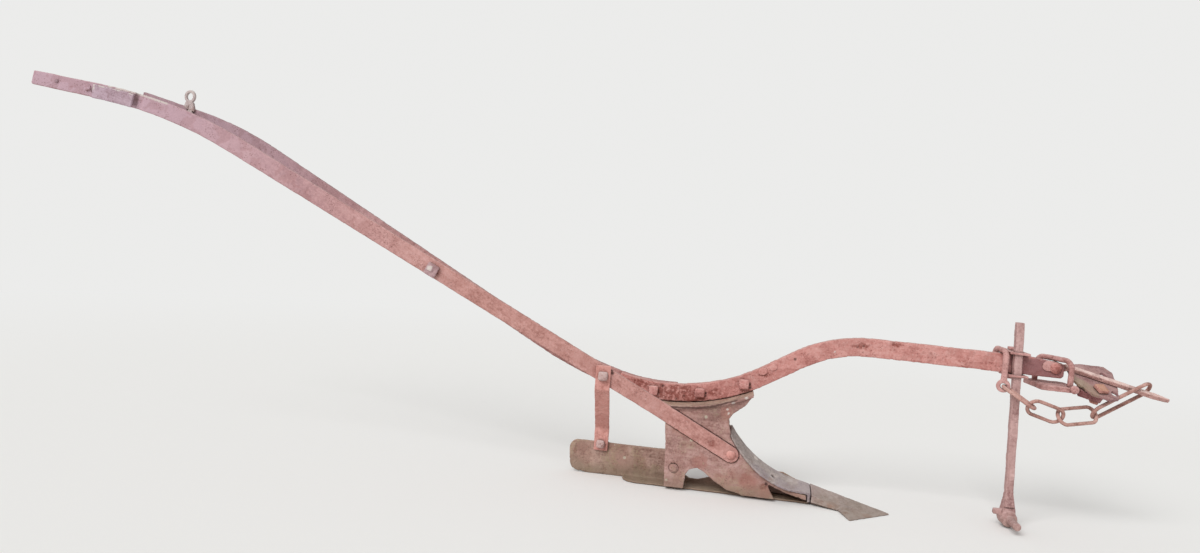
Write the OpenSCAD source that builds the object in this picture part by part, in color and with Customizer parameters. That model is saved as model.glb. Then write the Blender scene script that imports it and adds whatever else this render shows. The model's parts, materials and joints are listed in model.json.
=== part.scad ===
// Horse drawn walking plough of iron, without its mouldboard, land wheel and wooden grips.
// +X points forward, +Z up, and the ground is z = 0. The right hand side is -Y.
// The origin lies on the underside of the slade, below the front bolt of the right stilt.

/* [Beam] */
// Depth of the beam bar, seen from the side
beam_depth = 44; // [38:1:50]
// Thickness of the beam bar
beam_t = 24; // [20:1:28]
// Height of the beam's axis at the lowest point over the frame
beam_dip_z = 220; // [200:1:240]
// Place of that lowest point
beam_dip_x = -95; // [-110:1:-80]
// Bend radius of the dip over the frame
beam_dip_r = 430; // [380:5:480]
// Slope of the beam's rise, in degrees
beam_rise = 30.5; // [27:0.5:34]
// Length of the straight rise
beam_rise_len = 95; // [80:1:110]
// Bend radius of the crest
beam_crest_r = 296; // [260:2:330]
// How far the front of the beam droops, in degrees
beam_droop = 1; // [0:0.25:2]
// Length of the straight front
beam_front_len = 394; // [380:1:430]

/* [Stilts] */
// Thickness of the flat bars of the stilts
stilt_t = 12; // [10:1:14]
// Depth of a stilt at its middle
stilt_depth = 42; // [38:1:46]
// Depth of the right stilt at its front end
stilt_front_depth = 37; // [34:1:42]
// Depth of the bare tang that carried the wooden grip
grip_depth = 33; // [28:1:38]
// Slope of the right stilt, in degrees
right_slope = 27.1; // [26:0.05:29]
// Slope of the right stilt's tang
right_grip_slope = 7.7; // [6:0.1:10]
// Slope of the left stilt, in degrees
left_slope = 26.8; // [26:0.05:29]
// Slope of the left stilt's tang
left_grip_slope = 14.3; // [12:0.1:16]
// How far the right stilt splays out, in degrees
right_splay = 6.2; // [5:0.1:7]
// How far the left stilt splays out, in degrees
left_splay = 8; // [7:0.1:9]
// Thickness of the plate that laps the grip tang
splice_t = 8; // [5:1:10]

/* [Frame] */
// Thickness of the frame's right cheek
cheek_t = 12; // [10:1:14]
// Outer face of the cheek, out from the middle of the beam
cheek_out = 56; // [50:1:60]
// How deep the right stilt is let into the cheek
channel = 8; // [4:1:9]
// Thickness of the frame's walls and flanges
wall = 10; // [8:1:12]

/* [Slade and share] */
// Width of the slade's sole
sole_w = 60; // [54:1:66]
// Thickness of the slade's sole
sole_t = 6; // [5:1:8]
// Height of the slade's upright web
web_h = 79; // [72:1:84]
// Thickness of that web
web_t = 10; // [8:1:12]
// Distance of the share's point ahead of the slade
point_reach = 174; // [150:1:190]
// How far the wing reaches out from the middle of the beam
wing_out = 131; // [110:1:140]
// Thickness of the breast strip
strip_t = 6; // [5:1:8]

/* [Wheel post] */
// Side of the square post
post_w = 18; // [16:1:20]
// Height of the post
post_h = 458; // [440:2:480]
// How far the post leans back, in degrees
post_lean = 1.5; // [0:0.25:2.5]
// Diameter of the stub that carried the land wheel
stub_d = 18; // [16:1:20]

/* [Draught gear] */
// Diameter of the beam shackle's bar
shackle_d = 12; // [11:1:14]
// Diameter of the bow's bar at the beam's end
bow_d = 11; // [10:1:13]
// Width of the hake plate at its widest
hake_w = 134; // [128:1:138]
// Thickness of the hake plate
hake_t = 8; // [6:1:10]
// How far the hake droops, in degrees
hake_droop = 14; // [12:0.5:16]
// How far the hake rolls to the right, in degrees
hake_roll = 30; // [26:1:32]
// Width of the draught rod
rod_w = 14; // [12:1:16]
// Diameter of the chain's wire
wire_d = 7; // [6:0.5:7.5]

/* [Hidden] */

// Gap at a seat between two pieces, and running clearance round a bolt or pin
seat = 0.2;
run = 0.05;
round_fn = 48;
// Bolts: diameter, width of a square head or nut, and its height
bolt_d = 14;
head_w = 23;
head_t = 9;

// A bar's axis is walked from a pose [x, z, heading, depth] over rows of [run, turn, depth at its end]
function bend_steps(turn) = max(1, ceil(abs(turn) / 3));
function after(p, length, turn, depth) =
    turn == 0
        ? [p[0] + length * cos(p[2]), p[1] + length * sin(p[2]), p[2], depth]
        : let (r = length / (turn * PI / 180))
            [p[0] + r * (sin(p[2] + turn) - sin(p[2])), p[1] - r * (cos(p[2] + turn) - cos(p[2])),
             p[2] + turn, depth];
function part_of(row, p, share) =
    after(p, row[0] * share, row[1] * share, p[3] + (row[2] - p[3]) * share);
function walk(rows, p, row = 0) =
    row == len(rows)
        ? [p]
        : let (n = bend_steps(rows[row][1]))
            concat([for (k = [0:n - 1]) part_of(rows[row], p, k / n)],
                walk(rows, part_of(rows[row], p, 1), row + 1));
function pose_at(rows, p, s, row = 0) =
    row == len(rows)
        ? p
        : s <= rows[row][0]
            ? part_of(rows[row], p, s / rows[row][0])
            : pose_at(rows, part_of(rows[row], p, 1), s - rows[row][0], row + 1);
function with_depth(path, depth) = [for (p = path) [p[0], p[1], p[2], depth]];
function side_of(path, sign) =
    [for (p = path) [p[0] - sign * p[3] / 2 * sin(p[2]), p[1] + sign * p[3] / 2 * cos(p[2])]];
function reversed(list) = [for (k = [len(list) - 1:-1:0]) list[k]];
function arc_len(radius, turn) = radius * turn * PI / 180;

module bar_outline(path) {
    polygon(concat(side_of(path, 1), reversed(side_of(path, -1))));
}

// Stands a drawing of x and z upright between two values of y
module between(y_low, y_high) {
    translate([0, y_high, 0])
        rotate([90, 0, 0])
            linear_extrude(y_high - y_low)
                children();
}

// A round bar and a square block along y
module rod_y(x, z, y_low, y_high, d) {
    translate([x, y_high, z])
        rotate([90, 0, 0])
            cylinder(h = y_high - y_low, d = d, $fn = round_fn);
}

module square_y(x, z, y_low, y_high, side, tilt = 0) {
    translate([x, y_high, z])
        rotate([90, 0, 0])
            rotate([0, 0, tilt])
                translate([-side / 2, -side / 2, 0])
                    cube([side, side, y_high - y_low]);
}

// A bolt along y: square head below y_low, square nut above y_high
module bolt_y(x, z, y_low, y_high, d = bolt_d, w = head_w, tilt = 0) {
    rod_y(x, z, y_low - seat - 1, y_high + seat + head_t + 3, d);
    square_y(x, z, y_low - seat - head_t, y_low - seat, w, tilt);
    square_y(x, z, y_high + seat, y_high + seat + head_t, w, tilt);
}

// A domed head on z = 0, with its base radius and its height
module dome(r, h) {
    ball = (r * r + h * h) / (2 * h);
    intersection() {
        translate([0, 0, h - ball])
            sphere(r = ball, $fn = round_fn);
        translate([0, 0, h / 2])
            cube([3 * r, 3 * r, h], center = true);
    }
}

// A stirrup over the beam: a near and a far leg, joined by a bar with bent corners
module stirrup(half, top, near_low, far_low, d, bend) {
    for (s = [-1, 1]) {
        low = s < 0 ? near_low : far_low;
        translate([0, s * half, low])
            cylinder(h = top - bend - low, d = d, $fn = round_fn);
        translate([0, s * (half - bend), top - bend])
            rotate([0, 90, 0])
                rotate([0, 0, s > 0 ? 90 : 180])
                    rotate_extrude(angle = 90, $fn = round_fn)
                        translate([bend, 0])
                            circle(d = d, $fn = round_fn);
    }
    translate([0, 0, top])
        rotate([90, 0, 0])
            cylinder(h = 2 * (half - bend), d = d, center = true, $fn = round_fn);
}

// The beam, from its tail forward
beam_tail_turn = 14;
beam_tail_r = 500;
beam_half = beam_t / 2;
beam_top = beam_depth / 2;
beam_dip = [beam_dip_x, beam_dip_z, 0, beam_depth];
beam_tip_len = 22;
beam_bends = [
    [arc_len(beam_dip_r, beam_rise), beam_rise, beam_depth],
    [beam_rise_len, 0, beam_depth],
    [arc_len(beam_crest_r, beam_rise + beam_droop), -beam_rise - beam_droop, beam_depth]
];
beam_back = [[arc_len(beam_tail_r, beam_tail_turn), -beam_tail_turn, beam_depth]];
beam_path = walk(concat(beam_bends, [[beam_front_len + beam_tip_len, 0, beam_depth]]), beam_dip);
beam_tail_path = walk(beam_back, [beam_dip_x, beam_dip_z, 180, beam_depth]);
beam_end = after(beam_path[len(beam_path) - 1], -beam_tip_len, 0, beam_depth);

// Height of the beam's axis over the frame
function axis_z(x) =
    let (r = x < beam_dip_x ? beam_tail_r : beam_dip_r)
        beam_dip_z + r - sqrt(r * r - pow(x - beam_dip_x, 2));

// A point on the front straight of the beam: along it from its end, and up from its axis
function on_beam(back, up) = [
    beam_end[0] - back * cos(beam_droop) + up * sin(beam_droop),
    beam_end[1] + back * sin(beam_droop) + up * cos(beam_droop)
];

// Puts what is drawn on the front straight, back from its end and square to it
module at_beam(back) {
    translate([on_beam(back, 0)[0], 0, on_beam(back, 0)[1]])
        rotate([0, beam_droop, 0])
            children();
}

// Side bolts: the rear one holds the left stilt, the others the frame's lug
side_bolt_xs = [-130, -20, 80];
lug_t = stilt_t;
left_y = beam_half + seat;

// Forged tip: its top slopes down towards a blunt end
tip_start = 60;
tip_slope = 0.11;
tip_corner = 6;
tip_over = 5;
function tip_top(back) = beam_top - tip_slope * (tip_start - back);
module tip_cuts() {
    front = beam_tip_len + 1;
    top = tip_top(-beam_tip_len);
    corner = tip_corner + 1;
    polygon([[-tip_start - tip_over / tip_slope, beam_top + tip_over], [front, tip_top(-front)],
             [front, beam_top + tip_over]]);
    polygon([[front - 1 - corner, top + 1], [front, top - corner], [front, top + 1]]);
    polygon([[front - 1 - corner, -beam_top - 1], [front, corner - beam_top], [front, -beam_top - 1]]);
}

// Pin through the forked tip, which holds the tongue of the draught rod
pin_d = 14;
pin_at = on_beam(-2, 1);
tongue_t = 10;
fork_depth = 20;

module beam() {
    color("#a8685f")
        difference() {
            between(-beam_half, beam_half) {
                bar_outline(beam_path);
                bar_outline(beam_tail_path);
            }
            at_beam(0)
                between(-beam_half - 1, beam_half + 1)
                    tip_cuts();
            for (x = side_bolt_xs)
                rod_y(x, axis_z(x), -beam_half - 1, beam_half + 1, bolt_d + 2 * run);
            rod_y(pin_at[0], pin_at[1], -beam_half - 1, beam_half + 1, pin_d + 2 * run);
            translate([pin_at[0] - fork_depth, -tongue_t / 2 - seat, beam_end[1] - beam_depth])
                cube([beam_depth + fork_depth, tongue_t + 2 * seat, 2 * beam_depth]);
        }
}

// Puts what is drawn with x = 0 at the kink of a stilt on its splayed line
module splayed(kink_x, y, angle) {
    translate([kink_x, y, 0])
        rotate([0, 0, angle])
            children();
}

// Left stilt: lies on the beam's left face, then splays out
left_lap = 3;
left_tail_turn = 13;
left_front = [
    [arc_len(beam_dip_r, left_lap), -left_lap, beam_depth],
    [arc_len(beam_tail_r, left_tail_turn), -left_tail_turn, beam_depth]
];
left_front_path = walk(left_front, [
    beam_dip_x + beam_dip_r * sin(left_lap),
    beam_dip_z + beam_dip_r * (1 - cos(left_lap)),
    180 + left_lap,
    beam_depth
]);
left_kink = left_front_path[len(left_front_path) - 1];
left_bend_1 = left_slope - left_tail_turn;
left_bend_2 = left_slope - left_grip_slope;
left_bend_1_r = 940;
left_run = 947;
left_bend_2_r = 1160;
left_tang = 212;
left_rows = [
    [arc_len(left_bend_1_r, left_bend_1), -left_bend_1, stilt_depth],
    [left_run, 0, stilt_depth],
    [arc_len(left_bend_2_r, left_bend_2), left_bend_2, grip_depth + 4],
    [left_tang, 0, grip_depth]
];
left_start = [0, left_kink[1], left_kink[2], beam_depth];
// Set out at the kink, so that the slanted end of the splayed run clears the beam
left_out = left_y + beam_depth / 2 * sin(left_tail_turn) * sin(left_splay);

module left_place() {
    splayed(left_kink[0], left_out, -left_splay)
        children();
}

module left_stilt() {
    color("#9c6a62")
        difference() {
            union() {
                between(left_y, left_y + stilt_t)
                    bar_outline(left_front_path);
                left_place()
                    between(0, stilt_t)
                        bar_outline(walk(left_rows, left_start));
            }
            rod_y(side_bolt_xs[0], axis_z(side_bolt_xs[0]), 0, left_y + stilt_t + 1, bolt_d + 2 * run);
            cross_line()
                cylinder(h = stay_reach + 100, d = stay_end_d + 2 * run, $fn = round_fn);
        }
}

// Right stilt: let into the cheek, then splays out
right_bolt = [63, 98.4];
right_kink_x = -100;
right_y = -cheek_out + channel;
right_front_run = (right_bolt[0] - right_kink_x) / cos(right_slope);
right_front = [[right_front_run, 0, stilt_front_depth + 1]];
right_front_pose = [right_bolt[0], right_bolt[1], 180 - right_slope, stilt_front_depth];
right_kink = pose_at(right_front, right_front_pose, right_front_run);
right_bend = right_slope - right_grip_slope;
right_run = 1178;
right_bend_r = 1040;
right_tang = 171;
right_rows = [
    [right_run, 0, stilt_depth],
    [arc_len(right_bend_r, right_bend), right_bend, grip_depth + 2],
    [right_tang, 0, grip_depth]
];
right_start = [0, right_kink[1], right_kink[2], right_kink[3]];
right_out = right_y - right_kink[3] / 2 * sin(right_slope) * sin(right_splay);

module right_place() {
    splayed(right_kink_x, right_out, right_splay)
        children();
}

module right_stilt() {
    color("#b3746b")
        difference() {
            union() {
                between(right_y - stilt_t, right_y) {
                    bar_outline(walk(right_front, right_front_pose));
                    translate([right_bolt[0], right_bolt[1]])
                        circle(d = stilt_front_depth, $fn = round_fn);
                }
                right_place()
                    between(-stilt_t, 0)
                        bar_outline(walk(right_rows, right_start));
            }
            rod_y(right_bolt[0], right_bolt[1], right_y - stilt_t - 1, right_y + 1, bolt_d + 2 * run);
            right_recess();
            right_place()
                rod_y(upright_at[0], upright_at[1] + stay_bolt_up, -stilt_t - 1, 1, stay_bolt_d + 2 * run);
            cross_line()
                translate([0, 0, -50])
                    cylinder(h = 100, d = stay_end_d + 2 * run, $fn = round_fn);
        }
}

// Grip tangs: a plate lapped on the outer face near the bend
splice_len = 100;
splice_depth = 33;
splice_drop = 3.5;
right_splice_run = 1447;
left_splice_run = 1300;
function lowered(p, drop) = [p[0] - drop * sin(p[2]), p[1] + drop * cos(p[2]), p[2], p[3]];
module splice(rows, start, first_run) {
    bar_outline(with_depth(
        [for (k = [0:6]) lowered(pose_at(rows, start, first_run + splice_len * k / 6), splice_drop)],
        splice_depth));
}

// Worn recess in the right stilt's outer face, in front of the plate
recess_len = 20;
recess_deep = 5;
module right_recess() {
    right_place()
        between(-stilt_t - 1, recess_deep - stilt_t)
            bar_outline(with_depth(
                [for (k = [1, 0]) pose_at(right_rows, right_start, right_splice_run - k * recess_len)],
                2 * stilt_depth));
}

module right_splice() {
    color("#bd8078")
        right_place()
            between(-stilt_t - splice_t - seat, -stilt_t - seat)
                splice(right_rows, right_start, right_splice_run);
}

module left_splice() {
    color("#a67a72")
        left_place()
            between(stilt_t + seat, stilt_t + splice_t + seat)
                splice(left_rows, left_start, left_splice_run);
}

// Rein eye: a flat eye that stands above the left stilt, on its inner face
eye_run = 1457;
eye_up = 49;
eye_d = 36;
eye_hole_d = 21;
eye_t = 7;
eye_shank_w = 20;
module rein_eye() {
    p = pose_at(left_rows, left_start, eye_run);
    color("#a88a84")
        left_place()
            difference() {
                between(-eye_t - seat, -seat) {
                    translate([p[0], p[1] + eye_up])
                        circle(d = eye_d, $fn = round_fn);
                    translate([p[0] - eye_shank_w / 2, p[1] - grip_depth / 2 + 3])
                        square([eye_shank_w, eye_up + grip_depth / 2 - eye_hole_d / 2 - 6]);
                }
                rod_y(p[0], p[1] + eye_up, -eye_t - 1, 1, eye_hole_d);
            }
}

// Cross stay: a round rod through both stilts, with shoulders inside and square nuts outside
stay_d = 16;
stay_end_d = 12;
stay_nut_w = 30;
right_stay_run = 634;
left_stay_run = 510;
right_stay_pose = pose_at(right_rows, right_start, right_stay_run);
left_stay_pose = pose_at(left_rows, left_start, left_stay_run);
right_stay_point = [
    right_kink_x + right_stay_pose[0] * cos(right_splay) + stilt_t / 2 * sin(right_splay),
    right_out + right_stay_pose[0] * sin(right_splay) - stilt_t / 2 * cos(right_splay),
    right_stay_pose[1] - 5
];
left_stay_point = [
    left_kink[0] + left_stay_pose[0] * cos(left_splay) + stilt_t / 2 * sin(left_splay),
    left_out - left_stay_pose[0] * sin(left_splay) + stilt_t / 2 * cos(left_splay),
    left_stay_pose[1]
];
stay_way = left_stay_point - right_stay_point;
stay_reach = norm(stay_way);
module cross_line() {
    translate(right_stay_point)
        rotate([0, acos(stay_way[2] / stay_reach), atan2(stay_way[1], stay_way[0])])
            children();
}

module cross_stay() {
    inset = stilt_t / 2 + 3;
    out = stilt_t / 2 + seat + head_t + 3;
    color("#a8685f") {
        cross_line() {
            translate([0, 0, inset])
                cylinder(h = stay_reach - 2 * inset, d = stay_d, $fn = round_fn);
            translate([0, 0, -out])
                cylinder(h = stay_reach + 2 * out, d = stay_end_d, $fn = round_fn);
        }
        right_place()
            square_y(right_stay_pose[0], right_stay_pose[1] - 5,
                -stilt_t - seat - head_t, -stilt_t - seat, stay_nut_w, -right_slope);
        left_place()
            square_y(left_stay_pose[0], left_stay_pose[1],
                stilt_t + seat, stilt_t + seat + head_t, stay_nut_w, -left_slope);
    }
}

// Upright stay: bolted outside the right stilt, cranked in to an ear of the slade's web
upright_w = 36;
upright_t = 8;
upright_run = 164;
upright_at = pose_at(right_rows, right_start, upright_run);
upright_top_up = 22;
upright_bend_down = 36;
stay_bolt_up = -3;
stay_bolt_d = 12;
stay_head_w = 20;
web_y = 12;
ear_at = [-248, 76];
upright_low = 58;
upright_crank = 116;
module upright_stay() {
    pad_y = -stilt_t - seat - upright_t;
    web_pad_y = web_y - seat - upright_t;
    color("#ae6f66")
        difference() {
            union() {
                right_place()
                    translate([upright_at[0] - upright_w / 2, pad_y, upright_at[1] - upright_bend_down])
                        cube([upright_w, upright_t, upright_bend_down + upright_top_up]);
                translate([ear_at[0] - upright_w / 2, web_pad_y, upright_low])
                    cube([upright_w, upright_t, upright_crank - upright_low]);
                hull() {
                    right_place()
                        translate([upright_at[0] - upright_w / 2, pad_y, upright_at[1] - upright_bend_down])
                            cube([upright_w, upright_t, 3]);
                    translate([ear_at[0] - upright_w / 2, web_pad_y, upright_crank - 3])
                        cube([upright_w, upright_t, 3]);
                }
            }
            right_place()
                rod_y(upright_at[0], upright_at[1] + stay_bolt_up, pad_y - 1, 1, stay_bolt_d + 2 * run);
            rod_y(ear_at[0], ear_at[1], web_pad_y - 1, web_y + 1, stay_bolt_d + 2 * run);
        }
}

module stay_bolts() {
    color("#a0665d") {
        right_place()
            bolt_y(upright_at[0], upright_at[1] + stay_bolt_up, -stilt_t - seat - upright_t, 0,
                stay_bolt_d, stay_head_w);
        bolt_y(ear_at[0], ear_at[1], web_y - seat - upright_t, web_y + web_t, stay_bolt_d, stay_head_w - 2);
    }
}

// Breast strip: what is left of the breast, a bent plate that wraps the frame's nose
joint_x = 251;
strip_tilt = 13;
strip_slope = 13;
strip_turn = 45;
strip_flat = 40;
strip_r = 245;
strip_path = walk(
    [[strip_flat, 0, strip_t], [arc_len(strip_r, strip_turn), -strip_turn, strip_t]],
    [joint_x, 34, 180 - strip_slope, strip_t]
);
strip_hole_d = 11;
strip_hole = pose_at([[arc_len(strip_r, strip_turn), -strip_turn, strip_t]],
    strip_path[1], arc_len(strip_r, 12));

// Draws square to the strip's run, which lies tilted towards the furrow side
module tilted(y_low, y_high) {
    rotate([strip_tilt, 0, 0])
        between(y_low, y_high)
            children();
}

function strip_under(gap) = side_of(with_depth(strip_path, strip_t + 2 * gap), 1);

module strip_hole_cut() {
    rotate([strip_tilt, 0, 0])
        translate([strip_hole[0], -22, strip_hole[1]])
            rotate([0, 180 - strip_hole[2], 0])
                cylinder(h = 60, d = strip_hole_d, center = true, $fn = round_fn);
}

module breast_strip() {
    color("#85787c")
        difference() {
            intersection() {
                union() {
                    tilted(-110, 90)
                        bar_outline(strip_path);
                    tilted(-110, 90)
                        translate([joint_x - 8, -20])
                            square([8, 56]);
                }
                translate([0, 0, sole_t + seat])
                    linear_extrude(200)
                        polygon([[40, -50], [130, -70], [200, -62], [joint_x, -44], [joint_x, 5], [40, 5]]);
            }
            strip_hole_cut();
        }
}

// Frame casting: cheek, walls and the lug on the beam's left side, drawn in x and z
function flange_at(x, drop) =
    let (r = x < beam_dip_x ? beam_tail_r : beam_dip_r)
        [x, beam_dip_z + r - sqrt(pow(r + beam_top + seat + drop, 2) - pow(x - beam_dip_x, 2))];
function spaced(low, high, count) = [for (k = [0:count]) low + (high - low) * k / count];
cheek_rear_x = -98;
rim_rear_x = -122;
arm_tip_x = 104;
cheek_xs = spaced(cheek_rear_x, arm_tip_x, 15);
rim_xs = spaced(rim_rear_x, arm_tip_x, 17);
arm_edge = [[arm_tip_x + 1, 239], [87, 213], [60, 191], [52, 177], [56, 158]];
rim = 8;
lip = 6;
frame_foot_x = -85;
frame_low = sole_t + seat;
slade_bolt_at = [-65, 52];
slade_boss_d = 36;
nose_bolt_at = [146, 39];
nose_bolt_d = 12;
nose_head_w = 17;
module cheek_outline() {
    difference() {
        polygon(concat(
            [[frame_foot_x, frame_low], [frame_foot_x - 4, 100], [frame_foot_x - 11, 190]],
            [for (x = cheek_xs) flange_at(x, 0)],
            arm_edge,
            [[60, 144], [90, 140], [160, 90], [140, 58], [151, 38], [160, 22], [170, frame_low]]
        ));
        polygon([[-40, 0], [-36, 42], [-28, 53], [-12, 58], [2, 52], [31, 31], [60, 15], [90, 9],
                 [104, 0]]);
    }
}

module nose_cut() {
    tilted(-200, 200)
        polygon(concat(strip_under(seat), [[110, 190], [320, 190], [320, 20]]));
}

module frame() {
    near_y = -cheek_out;
    land_y = web_y - seat;
    color("#8c7468")
        difference() {
            union() {
                difference() {
                    union() {
                        between(near_y, near_y + cheek_t)
                            cheek_outline();
                        between(land_y - wall, land_y)
                            polygon([[112, frame_low], [112, 110], [joint_x - 12, 50],
                                     [joint_x - 12, frame_low]]);
                        intersection() {
                            tilted(-110, 90)
                                polygon(concat(strip_under(seat), reversed(strip_under(seat + wall))));
                            translate([0, near_y + 2, frame_low])
                                cube([joint_x - 10, land_y - near_y - 2, 180]);
                        }
                    }
                    nose_cut();
                }
                between(near_y - lip, left_y + lug_t)
                    polygon(concat(
                        [for (x = rim_xs) flange_at(x, 0)],
                        reversed([for (x = rim_xs) flange_at(x, rim)])
                    ));
                between(near_y + 1, land_y)
                    polygon(concat(arm_edge, reversed([for (p = arm_edge) [p[0] - wall, p[1] + 1]])));
                between(near_y + 1, land_y)
                    polygon([[frame_foot_x, frame_low], [frame_foot_x - 2, 100],
                             [frame_foot_x + wall, 100], [frame_foot_x + wall, frame_low]]);
                rod_y(slade_bolt_at[0], slade_bolt_at[1], near_y + 1, land_y, slade_boss_d);
                between(left_y, left_y + lug_t)
                    polygon(concat(
                        [for (x = [-50:25:100]) [x, axis_z(x) + beam_top * 0.8]],
                        [for (x = [96, 60, 20, -20, -50]) flange_at(x, rim)]
                    ));
            }
            between(near_y - lip - 1, near_y + channel + seat) {
                bar_outline(with_depth(walk([[right_front_run + 60, 0, 0]], right_front_pose),
                    stilt_front_depth + 2));
                translate([right_bolt[0], right_bolt[1]])
                    circle(d = stilt_front_depth + 2, $fn = round_fn);
            }
            for (k = [1, 2])
                rod_y(side_bolt_xs[k], axis_z(side_bolt_xs[k]), beam_half, left_y + lug_t + 1,
                    bolt_d + 2 * run);
            rod_y(right_bolt[0], right_bolt[1], near_y, near_y + cheek_t + 1, bolt_d + 2 * run);
            rod_y(slade_bolt_at[0], slade_bolt_at[1], near_y - 1, land_y + 1, bolt_d + 2 * run);
            rod_y(slade_bolt_at[0], slade_bolt_at[1], near_y - 1, near_y + sunk_t, sunk_d + 2 * run);
            rod_y(nose_bolt_at[0], nose_bolt_at[1], land_y - wall - 1, land_y + 1, nose_bolt_d + 2 * run);
            square_y(right_bolt[0], right_bolt[1], near_y + cheek_t,
                near_y + cheek_t + head_t + 5, head_w + 5);
            strip_hole_cut();
        }
}

module beam_bolts() {
    color("#9c6058")
        for (x = side_bolt_xs)
            bolt_y(x, axis_z(x), -beam_half, left_y + lug_t);
}

module stilt_bolt() {
    color("#8f5850") {
        rod_y(right_bolt[0], right_bolt[1], right_y - stilt_t - 3,
            -cheek_out + cheek_t + head_t + 3, bolt_d);
        translate([right_bolt[0], right_y - stilt_t - seat, right_bolt[1]])
            rotate([90, 0, 0])
                dome(12, 7);
        square_y(right_bolt[0], right_bolt[1], -cheek_out + cheek_t + seat,
            -cheek_out + cheek_t + seat + head_t, head_w);
    }
}

// Slade: sole with an upright web on the land side
sole_near_y = web_y + web_t - sole_w;
heel_x = -326;
heel_r = 22;
sole_round_x = -150;
sole_round_r = 40;
sole_front_x = joint_x - 1;
module web_outline() {
    translate([heel_x + heel_r, web_h - heel_r])
        circle(r = heel_r, $fn = round_fn);
    translate([heel_x + heel_r + 4, heel_r + 4])
        circle(r = heel_r + 2, $fn = round_fn);
    polygon([[heel_x + heel_r, web_h], [heel_x, web_h - heel_r], [heel_x + 2, heel_r + 8],
             [heel_x + heel_r + 4, heel_r - 18], [-284, 0], [sole_front_x, 0], [sole_front_x, 28],
             [190, 56], [116, 56], [58, 44], [26, 26], [-10, 16], [-30, 16], [-42, 24],
             [-52, web_h - 12], [-66, web_h], [-153, web_h]]);
    translate(ear_at)
        circle(d = upright_w - 2, $fn = round_fn);
}

module slade() {
    color("#7d6a60") {
        difference() {
            between(web_y, web_y + web_t)
                web_outline();
            rod_y(ear_at[0], ear_at[1], web_y - 1, web_y + web_t + 1, stay_bolt_d + 2 * run);
            rod_y(slade_bolt_at[0], slade_bolt_at[1], web_y - 1, web_y + web_t + 1, bolt_d + 2 * run);
            rod_y(nose_bolt_at[0], nose_bolt_at[1], web_y - 1, web_y + web_t + 1, nose_bolt_d + 2 * run);
        }
        linear_extrude(sole_t) {
            polygon([[sole_round_x - sole_round_r, web_y + 1],
                     [sole_round_x - sole_round_r, sole_near_y + sole_round_r],
                     [sole_round_x, sole_near_y], [sole_front_x, sole_near_y], [sole_front_x, web_y + 1]]);
            translate([sole_round_x, sole_near_y + sole_round_r])
                circle(r = sole_round_r, $fn = round_fn);
        }
    }
}

// Bolts that hold the frame on the slade: a sunk head in the cheek, and a head inside the nose
sunk_d = 22;
sunk_t = 6;
module slade_bolts() {
    near_y = -cheek_out;
    color("#7a655c") {
        rod_y(slade_bolt_at[0], slade_bolt_at[1], near_y - 1, near_y + sunk_t - seat, sunk_d);
        rod_y(slade_bolt_at[0], slade_bolt_at[1], near_y, web_y + web_t + head_t + 3, bolt_d);
        square_y(slade_bolt_at[0], slade_bolt_at[1], web_y + web_t + seat,
            web_y + web_t + seat + head_t, head_w);
        bolt_y(nose_bolt_at[0], nose_bolt_at[1], web_y - seat - wall, web_y + web_t,
            nose_bolt_d, nose_head_w);
    }
}

// Share: a body that carries on the strip, and a blade with its point ahead and its wing out
share_back = joint_x + 0.3;
share_land_y = 12;
blade_x = share_back + 58;
// Corners of the body at its back, and where it meets the blade
share_back_corners = [[5, 38], [share_land_y, 36], [-50, 25], [-50, 9], [-30, 0], [share_land_y, 0]];
blade_corners = [[4, 23], [share_land_y - 2, 18], [-64, 7], [-66, 1], [share_land_y - 4, 0]];
module share() {
    color("#83747a") {
        hull() {
            for (c = share_back_corners)
                translate([share_back, c[0] - 0.5, c[1]])
                    cube(1);
            for (c = blade_corners)
                translate([blade_x, c[0] - 0.5, c[1]])
                    cube(1);
        }
        hull() {
            for (c = blade_corners)
                translate([blade_x, c[0] - 0.5, c[1]])
                    cube(1);
            translate([blade_x + 34, 3, 9])
                cube(2);
            translate([blade_x + 16, -wing_out, 0])
                cube([5, 3, 2]);
            translate([share_back + point_reach - 4, -46, 0])
                cube([4, 8, 2.5]);
        }
    }
}

// Gear at the front of the beam
shackle_back = 112;
shackle_half = 42;
shackle_bend = 18;
ring_d = 28;
ring_hole_d = 13;
ring_t = 8;
ring_turn = 20;
ring_down = beam_top + 26;
far_leg_under = 3;
module beam_shackle() {
    color("#a4756c")
        at_beam(shackle_back) {
            stirrup(shackle_half, beam_top + seat + shackle_d / 2, -ring_down + ring_hole_d / 2 + 3,
                -beam_top - far_leg_under, shackle_d, shackle_bend);
            translate([0, -shackle_half, -ring_down])
                rotate([90, 0, -ring_turn])
                    difference() {
                        cylinder(h = ring_t, d = ring_d, center = true, $fn = round_fn);
                        cylinder(h = ring_t + 2, d = ring_hole_d, center = true, $fn = round_fn);
                    }
        }
}

// Clamp plates over and under the beam: a square eye for the post, and a bolt on the far side
post_back = 81.4;
post_y = -beam_half - 0.5 - post_w / 2;
post_mid = on_beam(post_back, 0);
clamp_t = 6;
clamp_w = 44;
clamp_near = 6;
clamp_bolt_d = 12;
clamp_bolt_y = beam_half + clamp_bolt_d / 2 + 2;
clamp_far = 14;
module at_post() {
    translate([post_mid[0], post_y, post_mid[1]])
        rotate([0, -post_lean, 0])
            children();
}

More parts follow.
